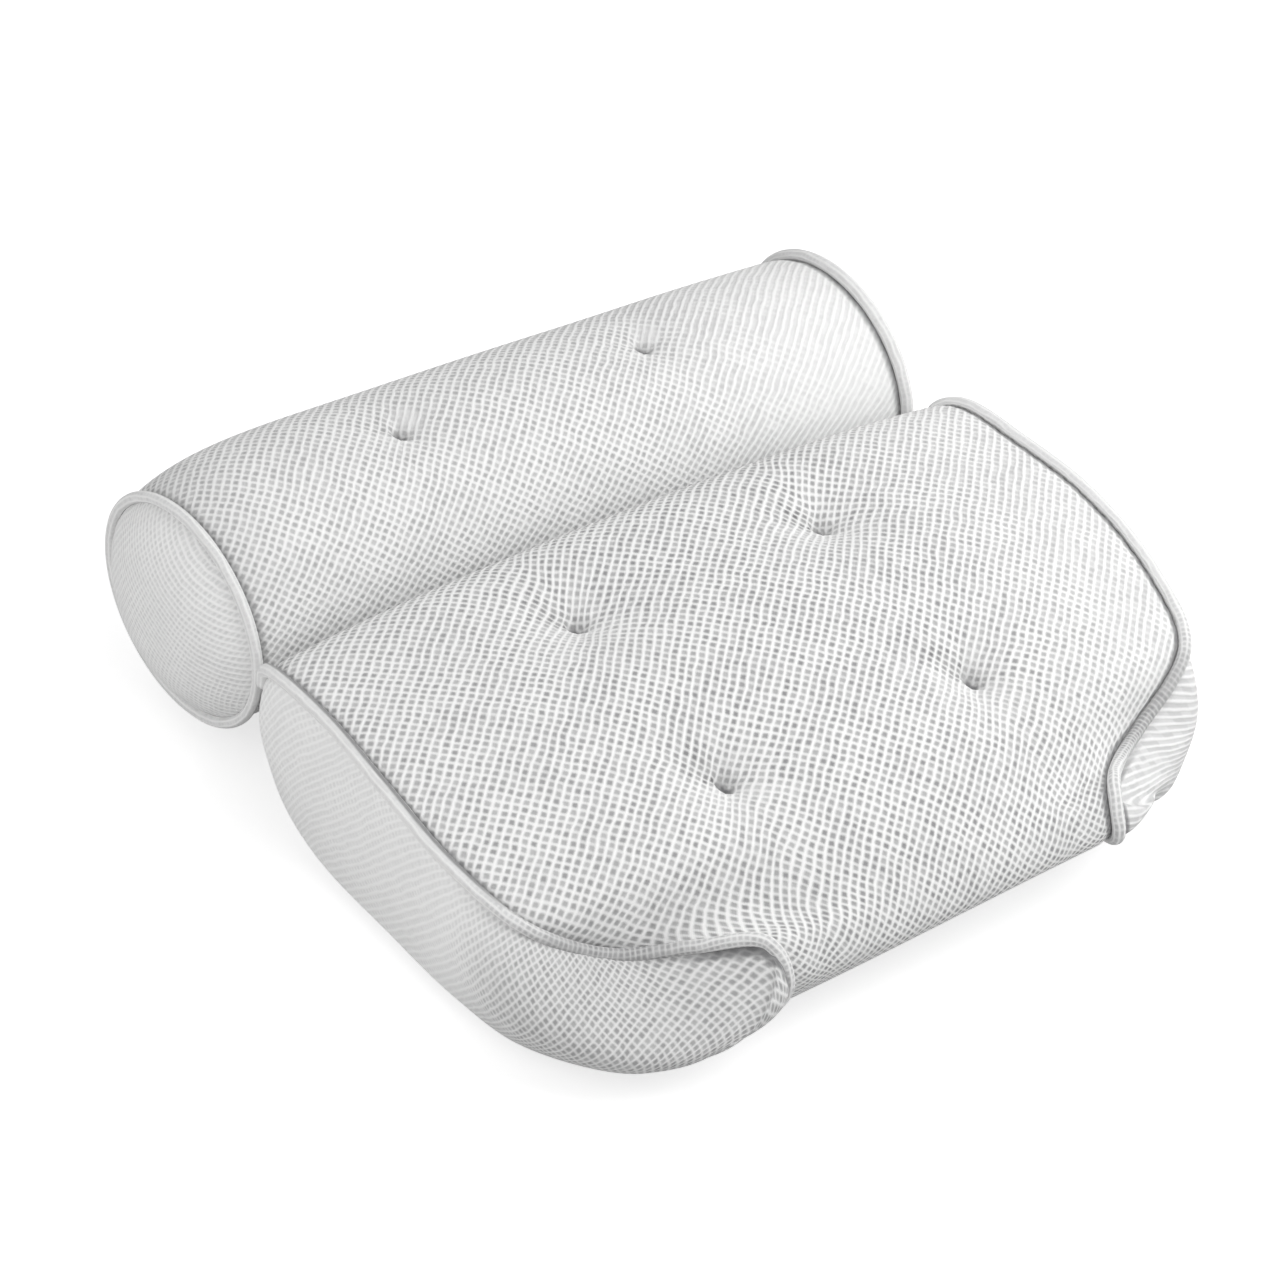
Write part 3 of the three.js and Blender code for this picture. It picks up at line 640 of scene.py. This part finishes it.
loops = calc(group, "SINE", calc(group, "MULTIPLY", v, STITCHES[1]))
loops = calc(group, "MULTIPLY", loops, calc(group, "SINE", calc(group, "MULTIPLY", u, STITCHES[0])))
solid = calc(group, "SUBTRACT", 1.0, hollow)
group.links.new(calc(group, "MULTIPLY_ADD", loops, 0.07, solid), gout.inputs["Height"])
group.links.new(calc(group, "MULTIPLY_ADD", loops, 0.25, fuzz.outputs["Fac"]), gout.inputs["Yarn"])
spacer_mesh = group


def mix(tree, share, first, second):
    node = tree.nodes.new("ShaderNodeMix")
    node.data_type = "RGBA"
    tree.links.new(share, node.inputs["Factor"])
    for socket, value in ((node.inputs["A"], first), (node.inputs["B"], second)):
        if hasattr(value, "is_output"):
            tree.links.new(value, socket)
        else:
            socket.default_value = (*value, 1)
    return node.outputs["Result"]


def new_material(name):
    material = bpy.data.materials.new(name)
    material.use_nodes = True
    return material, material.node_tree, material.node_tree.nodes["Principled BSDF"]


def bumped(tree, shader, height, strength, distance):
    bump = tree.nodes.new("ShaderNodeBump")
    bump.inputs["Strength"].default_value = strength
    bump.inputs["Distance"].default_value = distance * MM
    tree.links.new(height, bump.inputs["Height"])
    tree.links.new(bump.outputs[0], shader.inputs["Normal"])


# The grey that painted shade mixes the cloth towards: at seams, in tuft slits and on shaded parts.
PAINTED_SHADE_GREY = (0.17, 0.17, 0.175)


def mesh_cloth(name, strand, hole_shade, pitch, opening, depth, along=0.0, ribs=1.0):
    """The attribute "cloth_state" holds how much painted shade darkens the cloth, how far it is
    pulled open, how much its holes close, and how far they join across it."""
    material, tree, shader = new_material(name)
    shader.inputs["Roughness"].default_value = 0.8
    shader.inputs["Specular IOR Level"].default_value = 0.3
    shader.inputs["Sheen Weight"].default_value = 0.15
    state = tree.nodes.new("ShaderNodeAttribute")
    state.attribute_name = "cloth_state"
    parts = tree.nodes.new("ShaderNodeSeparateColor")
    tree.links.new(state.outputs["Color"], parts.inputs[0])
    painted_shade, pulled, closed = parts.outputs
    uv = tree.nodes.new("ShaderNodeUVMap")
    uv.uv_map = "cloth"
    weave = tree.nodes.new("ShaderNodeGroup")
    weave.node_tree = spacer_mesh
    tree.links.new(uv.outputs[0], weave.inputs["Map"])
    weave.inputs["Pitch"].default_value = pitch
    ribbed = calc(tree, "MULTIPLY", closed, ribs)
    tree.links.new(calc(tree, "MAXIMUM", ribbed, along), weave.inputs["Along"])
    tree.links.new(state.outputs["Alpha"], weave.inputs["Across"])
    tree.links.new(calc(tree, "MULTIPLY_ADD", pulled, 0.1, opening), weave.inputs["Open"])
    between = tuple(0.93 * c for c in strand)
    tone = mix(tree, ramp(tree, weave.outputs["Yarn"], 0.3, 0.7), between, strand)
    open_share = calc(tree, "SUBTRACT", 1.0, calc(tree, "MULTIPLY", closed, 0.78))
    shown = calc(tree, "MULTIPLY", weave.outputs["Hole"], open_share)
    # Holes pulled open are painted darker, as deeper shade.
    pit = mix(tree, pulled, hole_shade, tuple(0.5 * c for c in hole_shade))
    colour = mix(tree, shown, tone, pit)
    # Painted shade: the first channel of cloth_state mixes the colour towards grey.
    tree.links.new(mix(tree, painted_shade, colour, PAINTED_SHADE_GREY), shader.inputs["Base Color"])
    flatter = calc(tree, "SUBTRACT", 1.0, calc(tree, "MULTIPLY", closed, 0.6))
    height = calc(tree, "MULTIPLY", weave.outputs["Height"], flatter)
    bumped(tree, shader, height, strength=0.6, distance=depth)
    return material


def set_state(piece, state):
    """Writes what state(points) gives: seam shade, pulled open, closed, joined across."""
    points = vectors(piece.data, "co") / MM - np.array([0, FOLD.y, 0])
    values = np.zeros((len(points), 4))
    for k, share in enumerate(state(points)):
        values[:, k] = np.clip(share, 0, 1)
    layer = piece.data.attributes.new("cloth_state", "FLOAT_COLOR", "POINT")
    layer.data.foreach_set("color", values.ravel())


def dip_place(p):
    """1 at the dip of the side seam behind each toe."""
    return np.exp(-(((-p[:, 1] - 207) / 14) ** 2)) * smooth(92, 118, np.abs(p[:, 0]))


# Painted shade along a seam, in the gap beside its cord: 0.8 on the seam, gone past reach, and none
# at the side seam's uncorded ends.
def painted_seam_shade(p, lines, reach):
    d, k = line_place(p, lines)
    return 0.8 * (1 - smooth(reach, reach + 1.6, d)) * (corded(k) if lines is seam_points else 1)


def tuft_state(p, names, lowest, slit, smoothed):
    """Shade in and beside the slit of each tuft, wider holes behind it, closed ones in front."""
    shade, pulled, closed = 0 * p[:, 0], 0 * p[:, 0], 0 * p[:, 0]
    for dx, dy, r, turn, here in round_tufts(p, names, lowest):
        toward, aside = slit_place(r, turn)
        # Painted shade: a dark crescent just behind the near lip of the pit, and a lighter one over
        # its floor.
        crescent = smooth(-3.9, -1.9, toward) * (1 - smooth(1.2, 2.6, toward))
        crescent = crescent * np.exp(-((aside / 3.8) ** 4))
        bottom = 0.38 * smooth(-10, -2, toward) * (1 - smooth(0.8, 2, toward))
        bottom = bottom * np.exp(-((aside / 4) ** 2))
        shade = np.maximum(shade, np.maximum(slit * crescent, bottom) * here)
        behind = np.exp(-(((dx + 0.5 * dy) / 7) ** 2)) * smooth(0, 5, dy) * (1 - smooth(8, 26, dy))
        pulled = np.maximum(pulled, behind * here)
        front = np.exp(-r / 16) * smooth(-1, 4, -dy - 0.6 * dx)
        beside = smoothed * np.exp(-(((dx - 9) / 8) ** 2) - ((dy - 7) / 10) ** 2)
        pit = np.exp(-(((toward + 1.5) / 2.2) ** 2) - (aside / 4) ** 2)
        # Beside the tuft a faint painted shade falls where the holes close.
        shade = np.maximum(shade, 0.13 * beside * here)
        closed = np.maximum(closed, np.maximum(np.maximum(0.85 * front, beside), pit) * here)
    return shade, pulled, closed


def face_state(p):
    shade, pulled, closed = tuft_state(p, ("back", "front"), FACE_LOW, slit=0.95, smoothed=0.25)
    # Holes close towards the right, which paints the light falling from that side, and a little
    # towards the left.
    closed = np.maximum(closed, 0.5 * smooth(60, 180, p[:, 0]) + 0.12 * smooth(40, 150, -p[:, 0]))
    left = p[:, 0] < 0
    # Painted shade along the side seams, narrower on the left and fading towards its toe.
    line = painted_seam_shade(p, seam_points, 2.9 - 0.9 * left)
    line = line * (1 - 0.85 * smooth(165, 200, -p[:, 1]) * left)
    return np.maximum(shade, line), pulled, closed, 0 * shade


def gusset_state(p):
    toe = smooth(150, 215, -p[:, 1])
    left = p[:, 0] < 0
    tongue = smooth(205, 232, -p[:, 1])
    # Painted shade along the seam, strongest round the tongue's tip.
    shade = painted_seam_shade(p, seam_points, 5.2 + 2.2 * tongue) * (0.15 + 0.85 * tongue)
    closed = np.where(left, 1 - 0.7 * toe, 0.55)
    ribbed = smooth(140, 200, -p[:, 1]) * ~left
    # The left toe gets painted shade as well, and its holes are pulled open.
    return np.maximum(shade, 0.2 * toe * left), 0.5 * toe * left, closed, ribbed


# The holes are painted grey as the shade inside them; the yarn itself is white.
WHITE, HOLE_SHADE_GREY = (0.93, 0.93, 0.925), (0.29, 0.29, 0.295)
PITCH, OPENING, HOLE_DEPTH = 5.25, 0.66, 1.2
white_mesh = mesh_cloth("white_mesh", WHITE, HOLE_SHADE_GREY, PITCH, OPENING, HOLE_DEPTH, along=0.3)
rib_mesh = mesh_cloth("rib_mesh", WHITE, HOLE_SHADE_GREY, PITCH, OPENING, HOLE_DEPTH, ribs=0.5)

body_face = finished(
    "body_face", body_patches["body_face"], 2, face_detail, tufts=("back", "front"), lowest=FACE_LOW
)
rear_strip = bpy.data.meshes.new("rear_strip")
rear.to_mesh(rear_strip)
body_patches["body_back"].from_mesh(rear_strip)  # the back cloth turns up behind, to the fold
creased = body_patches["body_back"].verts.layers.float.new("crease_vert")
corner = Vector(hem(np.zeros(1))[0]) + Vector((0, FOLD.y, 0))
for v in body_patches["body_back"].verts:
    if (Vector((abs(v.co.x), v.co.y, v.co.z)) / MM - corner).length < 1:
        v[creased] = 1  # stays in the corner where hem and fold meet
body_back = finished("body_back", body_patches["body_back"], 1, close=True)
gusset_right = finished("gusset_right", body_patches["gusset_right"], 2, gusset_detail)
gusset_left = finished("gusset_left", body_patches["gusset_left"], 2, gusset_detail)
for piece, material, slot, nodes in (
    (body_face, white_mesh, "white_mesh", ["body_face_panel", "body_fill"]),
    (body_back, white_mesh, "white_mesh", ["body_back_panel"]),
    (gusset_right, rib_mesh, "rib_mesh", ["body_gusset_right"]),
    (gusset_left, rib_mesh, "rib_mesh", ["body_gusset_left"]),
):
    piece.data.materials.append(material)
    set_state(piece, face_state if slot == "white_mesh" else gusset_state)
    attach(piece, "body_cushion")
    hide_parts(*nodes)

# Piping along both side seams: a soft cord in a bias strip of the same mesh. Its allowances are
# sewn in between face and gusset, so it stands proud of the seam from the fold to the tongue's tip.
# The piping's yarn is painted a little greyer than the panels', as shade for its groove; its holes
# are painted shade like theirs.
PIPING_SHADED_WHITE, PIPING_HOLE_SHADE = (0.87, 0.87, 0.865), (0.3, 0.3, 0.305)
piping_cloth = mesh_cloth("piping_mesh", PIPING_SHADED_WHITE, PIPING_HOLE_SHADE, 3.6, 0.7, 0.6)
PIPING_RADIUS = 3.0
PIPING_OUT = 2.2  # the cord lies this far outside the seam line
PIPING_START, PIPING_END = 0.02, 0.99  # shares of the seam's length


def piping_state(p):
    """Drawn tight and smooth along the sides, puckered with painted shade in the dip behind each
    toe.
    """
    dip = dip_place(p)
    d, k = line_place(p, seam_points)
    inner = smooth(0, 0.8, p[:, 2] - seam_points[k, 2])
    inner = inner * (1 - smooth(160, 195, -p[:, 1])) * (p[:, 0] < 0)
    # A painted shade line on the left cord's inner side, where it meets the face, fading towards
    # the toe.
    line = 0.85 * (1 - smooth(2.4, 3, d)) * inner
    closed = 0.9 - 0.45 * smooth(150, 205, -p[:, 1]) - 0.3 * dip
    return np.maximum(0.42 * dip, line), 0, closed, 0.65 * dip


def cord_along(name, line, out, radius, closed=False, state=lambda p: (0, 0, 0.85, 0)):
    """A tube along the line, with a groove on its outer side where the strip is stitched."""
    line = np.asarray(line, float)
    if closed:
        ahead, behind = np.roll(line[:-1], -1, 0), np.roll(line[:-1], 1, 0)
        ahead, behind = np.vstack([ahead, ahead[:1]]), np.vstack([behind, behind[:1]])
    else:
        ahead, behind = np.vstack([line[1:], line[-1:]]), np.vstack([line[:1], line[:-1]])
    tangent = unit(ahead - behind)
    out = unit(out - tangent * (out * tangent).sum(1)[:, None])
    side = np.cross(tangent, out)
    length = lengths(line)

    def place(a, b):
        k = b * (len(line) - 1)
        i = np.minimum(k.astype(int), len(line) - 2)
        f = (k - i)[:, None]
        turn = a * math.pi
        thick = radius * (1 - 0.13 * np.exp(-((turn / 0.45) ** 2)))
        centre = line[i] * (1 - f) + line[i + 1] * f
        n, s = out[i] * (1 - f) + out[i + 1] * f, side[i] * (1 - f) + side[i + 1] * f
        p = centre + thick[:, None] * (n * np.cos(turn)[:, None] + s * np.sin(turn)[:, None])
        u, v = turn * radius, np.interp(k, np.arange(len(line)), length)
        return p, np.stack([v - u, v + u], -1) / math.sqrt(2)

    tube = patch(20, len(line) - 1, place)
    bmesh.ops.remove_doubles(tube, verts=tube.verts, dist=1e-6)
    if not closed:
        bmesh.ops.holes_fill(tube, edges=[e for e in tube.edges if e.is_boundary], sides=0)
    bmesh.ops.recalc_face_normals(tube, faces=tube.faces)
    data = bpy.data.meshes.new(name)
    tube.to_mesh(data)
    piece = new_piece(name, data)
    piece.data.materials.append(piping_cloth)
    set_state(piece, state)
    return piece


along = np.interp(np.linspace(PIPING_START, PIPING_END, 260) * run[-1], run, many)
for side, hand in ((1, "right"), (-1, "left")):
    inward = unit(face_place(0 * along + 0.97, along) - seam(along))
    down = unit(gusset_place(along, 0 * along + 0.06, side) - seam(along))
    out = unit(0.4 * down - inward)
    centre = settled((seam(along) + PIPING_OUT * out) * (side, 1, 1))
    outward = out * (side, 1, 1)
    piece = cord_along(f"seam_piping_{hand}", centre, outward, PIPING_RADIUS, state=piping_state)
    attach(piece, "body_cushion")
    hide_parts(f"body_piping_{hand}")

# Neck roll: a bolster of the same mesh and filling. One wrap panel is sewn to itself at the fold
# and closed by two ends, which the filling domes out, with a ring of piping in each seam.
ROLL_RING_X, ROLL_Y, ROLL_Z, ROLL_DEPTH, ROLL_HEIGHT = 175, 61.3, 60.4, 113, 96.8
ROLL_BULGE, ROLL_LEAN, END_BULGE = 0.144, 0.76, 18


def roll_place(x, angle, share):
    swell = (1 - np.minimum(1, np.abs(x) / ROLL_RING_X) ** 6) * (1 - ROLL_LEAN * x / ROLL_RING_X)
    reach = np.where(angle < 1.5 * math.pi, np.sin(angle * 2 / 3) ** 2, 0)
    scale = share * (1 + ROLL_BULGE * swell * reach)
    y = ROLL_Y - ROLL_DEPTH / 2 * scale * np.cos(angle)
    z = ROLL_Z + ROLL_HEIGHT / 2 * scale * np.sin(angle)
    p = np.stack([x, y, z], -1)
    whole = share > 0.999
    low = whole & (z < ROLL_Z)
    p[low] = seated(p[low])
    high = whole & ~low
    p[high, 2] -= pinch(x[high], y[high], ("roll",)) * smooth(0.1, 0.8, np.sin(angle[high]))
    return p


AROUND = 61  # length of cloth round the roll for each radian


def wrap_patch(a, b):
    x, angle = a * ROLL_RING_X, b * 2 * math.pi
    p = roll_place(x, angle, np.ones_like(a))
    du, dv = drawn_in(p[:, 0], p[:, 1], ("roll",), 3.5)
    above = p[:, 2] > ROLL_Z
    return p, np.stack([1.05 * (x + du * above), angle * AROUND + dv * above], -1)


def end_patch(side):
    def place(a, b):
        share = (1 - a) / 2
        angle = b * 2 * math.pi
        p = roll_place(side * (ROLL_RING_X + END_BULGE * (1 - share**3)), angle, share)
        y, z = p[:, 1] - ROLL_Y, p[:, 2] - 0.006 * (p[:, 1] - ROLL_Y) ** 2
        return p, 1.45 * np.stack([0.94 * y - 0.35 * z, 0.35 * y + 0.94 * z], -1)

    return place


roll_patches = {
    "roll_wrap": patch(52, 56, wrap_patch),
    "roll_end_right": patch(14, 56, end_patch(1)),
    "roll_end_left": patch(14, 56, end_patch(-1)),
}
bmesh.ops.reverse_faces(roll_patches["roll_end_left"], faces=roll_patches["roll_end_left"].faces)


def roll_held(p):
    at_rings = smooth(ROLL_RING_X - 16, ROLL_RING_X - 4, np.abs(p[:, 0]))
    return np.maximum.reduce([
        at_rings, tuft_hold(p, ("roll",), 5, 25),
        1 - smooth(8, 24, p[:, 1]), 1 - smooth(8, 20, p[:, 2]),
    ])


inflate(roll_patches.values(), roll_held)

ring_turn = np.linspace(0, 2 * math.pi, 129)
ring_y = ROLL_Y - ROLL_DEPTH / 2 * np.cos(ring_turn)
ring_z = ROLL_Z + ROLL_HEIGHT / 2 * np.sin(ring_turn)
ring_line = np.stack([0 * ring_turn, ring_y, ring_z], -1)
ring_points = np.vstack([ring_line + (side * ROLL_RING_X, 0, 0) for side in (-1, 1)])


def roll_detail(p):
    d, k = line_place(p, ring_points)
    return seam_groove(d, 2 * k, 1.5) + tuft_detail(p, ("roll",), FOLD.z)


def end_detail(p):
    d, k = line_place(p, ring_points)
    return seam_groove(d, 2 * k, 1.2)


def roll_state(p):
    shade, pulled, closed = tuft_state(p, ("roll",), ROLL_Z, slit=0.85, smoothed=0.95)
    # Holes close towards the right end, which paints the light falling from that side.
    closed = np.maximum(closed, 0.3 + 0.6 * smooth(30, 160, p[:, 0]))
    # Painted shade over the top of the left end, which turns away from the light, and along the
    # ring seams.
    shade = np.maximum(shade, 0.14 * smooth(135, 174, -p[:, 0]) * smooth(80, 98, p[:, 2]))
    return np.maximum(shade, painted_seam_shade(p, ring_points, 2.8)), 0.4 * pulled, closed, 0 * shade


# Faint painted shade along each ring seam, and holes mostly closed.
def end_state(p):
    return painted_seam_shade(p, ring_points, 2.0) * 0.25, 0, 0.85, 0


for name, material, slot, nodes, levels, detail in (
    ("roll_wrap", white_mesh, "white_mesh", ["roll_wrap_panel", "roll_fill"], 2, roll_detail),
    ("roll_end_right", rib_mesh, "rib_mesh", ["roll_end_panel_right"], 1, end_detail),
    ("roll_end_left", rib_mesh, "rib_mesh", ["roll_end_panel_left"], 1, end_detail),
):
    tufts = ("roll",) if name == "roll_wrap" else ()
    piece = finished(name, roll_patches[name], levels, detail, True, tufts, ROLL_Z)
    piece.data.materials.append(material)
    set_state(piece, roll_state if name == "roll_wrap" else end_state)
    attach(piece, "neck_roll")
    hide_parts(*nodes)

RINGS = ((1, "right", 3.0, 2.0), (-1, "left", 2.5, 1.5))  # radius, distance outside the seam
for side, hand, radius, out in RINGS:
    centre = ring_line + (side * (ROLL_RING_X + out), 0, 0)
    outward = np.tile((side, 0.0, 0.0), (len(centre), 1))
    piece = cord_along(f"ring_piping_{hand}", centre, outward, radius, closed=True)
    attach(piece, "neck_roll")
    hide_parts(f"roll_piping_{hand}")

# Fold seam: the allowances of the face, back and wrap panels, rolled into one bundle and stitched.
# It lies between the two cushions, and the roll turns on it.
SEAM_BUNDLE, SEAM_HALF, SEAM_STEPS = 4.2, 171.5, 90
fold_x = np.linspace(-SEAM_HALF, SEAM_HALF, SEAM_STEPS)
uneven = 0.15 * np.sin(fold_x * 0.31)
fold_line = np.stack([fold_x, uneven, FOLD.z + 0.15 * np.cos(fold_x * 0.23)], -1)
upward = np.tile((0.0, 0.0, 1.0), (SEAM_STEPS, 1))
fold_bundle = cord_along("fold_bundle", fold_line, upward, SEAM_BUNDLE)
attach(fold_bundle, "body_cushion")
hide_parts("fold_seam")

# Suction cups: moulded clear vinyl, a hollow disc with a shoulder, a neck and a mushroom head
# that is pushed through an eyelet in the back cloth, and a tab to peel it off by.
CUP_PROFILE = [
    (0, 4), (7, 3.7), (12.5, 3), (19, 1.6), (24.2, 0.3), (25, 0),  # the hollow
    (27.6, 0), (28, 0.4), (28, 0.9), (27.4, 1.25), (26.2, 1.5),  # rim
    (25.6, 2.1), (24.9, 2.1), (24.2, 2.0), (21, 3.7), (16.8, 5.2), (11.5, 6.9),  # back of the disc
    (8.2, 8.3), (7, 9.4), (7, 10.9), (6.7, 11.2), (4.5, 11.2), (4.2, 11.6), (4.2, 17.4),  # neck
    (4.6, 17.6), (7.1, 17.6), (7.5, 18), (7.3, 18.7), (6.3, 19.9), (4.8, 20.4), (0, 20.6),  # head
]  # radius, height


def turned(profile, steps, x, y):
    """The profile spun once round the upright axis through x, y."""
    mesh = bmesh.new()
    verts = [mesh.verts.new((r, 0, z)) for r, z in profile]
    edges = [mesh.edges.new(pair) for pair in zip(verts, verts[1:])]
    bmesh.ops.spin(
        mesh, geom=verts + edges, cent=(0, 0, 0), axis=(0, 0, 1), dvec=(0, 0, 0),
        angle=2 * math.pi, steps=steps, use_merge=True,
    )
    bmesh.ops.remove_doubles(mesh, verts=mesh.verts, dist=1e-4)
    bmesh.ops.translate(mesh, verts=mesh.verts, vec=(x, y + FOLD.y, 0))
    bmesh.ops.recalc_face_normals(mesh, faces=mesh.faces)
    return mesh


def placed(name, mesh, material):
    """Scales the mesh from millimetres and makes it a piece."""
    bmesh.ops.scale(mesh, verts=mesh.verts, vec=(MM, MM, MM))
    data = bpy.data.meshes.new(name)
    mesh.to_mesh(data)
    piece = new_piece(name, data)
    data.set_sharp_from_angle(angle=math.radians(50))
    piece.data.materials.append(material)
    return piece


haze, gin, gout = new_group("mould_haze", "Place", ("Grain",), ("Haze", "Ripple"))
cloud = noise(haze, gin.outputs["Place"], scale=1, detail=4)
haze.links.new(gin.outputs["Grain"], cloud.inputs["Scale"])
haze.links.new(ramp(haze, cloud.outputs["Fac"], 0.3, 0.7), gout.inputs["Haze"])
haze.links.new(cloud.outputs["Fac"], gout.inputs["Ripple"])


def moulded(name, colour, rough, clear, grain):
    """Moulded plastic: slightly uneven gloss, cloudy streaks and a faint ripple from the mould."""
    material, tree, shader = new_material(name)
    shader.inputs["Transmission Weight"].default_value = clear
    shader.inputs["IOR"].default_value = 1.53
    place = tree.nodes.new("ShaderNodeTexCoord")
    cloudy = tree.nodes.new("ShaderNodeGroup")
    cloudy.node_tree = haze
    tree.links.new(place.outputs["Object"], cloudy.inputs["Place"])
    cloudy.inputs["Grain"].default_value = grain
    veil = cloudy.outputs["Haze"]
    clouded = mix(tree, veil, tuple(0.9 * c for c in colour), colour)
    tree.links.new(clouded, shader.inputs["Base Color"])
    tree.links.new(calc(tree, "MULTIPLY_ADD", veil, 0.12, rough), shader.inputs["Roughness"])
    bumped(tree, shader, cloudy.outputs["Ripple"], strength=0.25, distance=0.3)
    return material


clear_vinyl = moulded("clear_vinyl", (0.86, 0.91, 0.91), rough=0.12, clear=0.7, grain=60)
TAB_TOP, TAB_LOW, TAB_RADIUS, TAB_OUT = 1.8, 0.6, 6, 28
CUPS = [
    (name, hand, side * TUFT_X, place[0])
    for name, place in TUFTS.items() for side, hand in ((-1, "left"), (1, "right"))
]
for name, hand, x, y in CUPS:
    cup = turned(CUP_PROFILE, 64, x, y)
    tab = bmesh.ops.create_cone(
        cup, cap_ends=True, segments=32, radius1=TAB_RADIUS, radius2=TAB_RADIUS,
        depth=TAB_TOP - TAB_LOW,
    )["verts"]
    for v in tab:  # a half disc drawn out to a tongue
        v.co.y = v.co.y - 2 if v.co.y < 0 else 0.4 * v.co.y
    at = (x, y + FOLD.y - TAB_OUT, (TAB_TOP + TAB_LOW) / 2)
    bmesh.ops.translate(cup, verts=tab, vec=at)
    edges = dict.fromkeys(e for v in tab for e in v.link_edges)  # in a fixed order
    rim = [e for e in edges if len(e.link_faces) == 2 and e.calc_face_angle(0) > 1]
    bmesh.ops.bevel(
        cup, geom=rim, offset=0.35, segments=2, profile=0.5, affect="EDGES", material=-1
    )
    piece = placed(f"cup_{name}_{hand}", cup, clear_vinyl)
    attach(piece, f"cup_{name}_{hand}")
    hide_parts(f"suction_cup_{name}_{hand}")

# Washers: moulded plastic rings on the inner side of the back cloth, one round the neck of each
# cup and under its head. They spread its pull over the cloth.
WASHER_PROFILE = [
    (4.5, 15.4), (4.9, 15.3), (9.6, 15.3), (10, 15.7), (10, 16.9), (9.6, 17.3), (8.6, 17.3),
    (8.2, 16.9), (6.2, 16.9), (5.8, 17.3), (4.9, 17.3), (4.5, 17.2), (4.5, 15.4),
]
washer_plastic = moulded("washer_plastic", (0.88, 0.9, 0.9), rough=0.4, clear=0.0, grain=90)
TUFT_BODY = {"roll": "neck_roll", "back": "body_cushion", "front": "body_cushion"}
for name, hand, x, y in CUPS:
    body = TUFT_BODY[name]
    piece = placed(f"washer_{name}_{hand}", turned(WASHER_PROFILE, 48, x, y), washer_plastic)
    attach(piece, body)
    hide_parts(f"cup_washer_{name}_{hand}")

# Ties: three-ply polyester cord from the head of each cup up through the filling to the cloth of
# face or wrap, which each pulls down into a tuft.
TIE_TOP = {
    "roll_left": 102.5, "roll_right": 99.5, "back_left": 81, "back_right": 81,
    "front_left": 71, "front_right": 71,
}
TIE_LOW, TIE_LAY, TIE_STEP = 20.9, 7.0, 1.1  # foot, turn of the plies, step
tie_thread, tree, shader = new_material("tie_thread")
shader.inputs["Roughness"].default_value = 0.85
shader.inputs["Sheen Weight"].default_value = 0.3
place = tree.nodes.new("ShaderNodeTexCoord")
stretch = tree.nodes.new("ShaderNodeMapping")
stretch.inputs["Scale"].default_value = (2500, 2500, 500)  # fibres run along the cord
tree.links.new(place.outputs["Object"], stretch.inputs["Vector"])
fibres = noise(tree, stretch.outputs[0], scale=1, detail=2)
light_share = ramp(tree, fibres.outputs["Fac"], 0.35, 0.65)
strand = mix(tree, light_share, (0.66, 0.66, 0.66), (0.84, 0.84, 0.83))
tree.links.new(strand, shader.inputs["Base Color"])
for name, hand, x, y in CUPS:
    body = TUFT_BODY[name]
    tie = bmesh.new()
    bmesh.ops.create_circle(tie, cap_ends=True, segments=18, radius=1)
    for v in tie.verts:
        v.co *= 0.85 + 0.15 * math.cos(3 * math.atan2(v.co.y, v.co.x))
    length = TIE_TOP[f"{name}_{hand}"] - TIE_LOW
    steps = int(length / TIE_STEP)
    bmesh.ops.spin(
        tie, geom=tie.verts[:] + tie.edges[:] + tie.faces[:], cent=(0, 0, 0), axis=(0, 0, 1),
        dvec=(0, 0, length / steps), angle=2 * math.pi * length / TIE_LAY, steps=steps,
    )
    bmesh.ops.translate(tie, verts=tie.verts, vec=(x, y + FOLD.y, TIE_LOW))
    bmesh.ops.recalc_face_normals(tie, faces=tie.faces)
    piece = placed(f"tie_{name}_{hand}", tie, tie_thread)
    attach(piece, body)
    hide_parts(f"tuft_tie_{name}_{hand}")

# Studio: a pale floor, three soft lamps of which the key is brightest, and a white surround.
FLOOR_GREY, FLOOR_GLOW, SKY_LIGHT = (0.6, 0.6, 0.6), 0.66, 0.5


def seen_directly(tree):
    """1 for the camera, and for what shows in or through the clear cups."""
    rays = tree.nodes.new("ShaderNodeLightPath").outputs
    either = calc(tree, "MAXIMUM", rays["Is Glossy Ray"], rays["Is Transmission Ray"])
    return calc(tree, "MAXIMUM", rays["Is Camera Ray"], either)


floor_paint, tree, shader = new_material("floor")
shader.inputs["Base Color"].default_value = (*FLOOR_GREY, 1)
shader.inputs["Roughness"].default_value = 0.9
shader.inputs["Specular IOR Level"].default_value = 0.1
shader.inputs["Emission Color"].default_value = (1, 1, 1, 1)
glow = calc(tree, "MULTIPLY", seen_directly(tree), FLOOR_GLOW)
tree.links.new(glow, shader.inputs["Emission Strength"])
bpy.ops.mesh.primitive_plane_add(size=30)
floor = bpy.context.object
floor.name = "floor"
floor.data.materials.append(floor_paint)

world = bpy.data.worlds.new("world")
scene.world = world
world.use_nodes = True
sky = world.node_tree
background = sky.nodes["Background"]
background.inputs["Color"].default_value = (1, 1, 1, 1)
sky.links.new(calc(sky, "MAXIMUM", seen_directly(sky), SKY_LIGHT), background.inputs["Strength"])

LAMP_SIZE = 0.8
for name, place, power in (
    ("key", (0.28, -0.48, 0.95), 6.2),
    ("side", (0.98, -0.17, 0.47), 3.6),
    ("fill", (-1.0, 0.0, 0.47), 3.2),
):
    lamp = bpy.data.lights.new(name, "AREA")
    lamp.size, lamp.energy = LAMP_SIZE, power
    light = bpy.data.objects.new(name, lamp)
    scene.collection.objects.link(light)
    light.location = place
    aim = Vector((0, 0, 0.05)) - light.location
    light.rotation_euler = aim.to_track_quat("-Z", "Y").to_euler()

scene.view_settings.view_transform = "Standard"
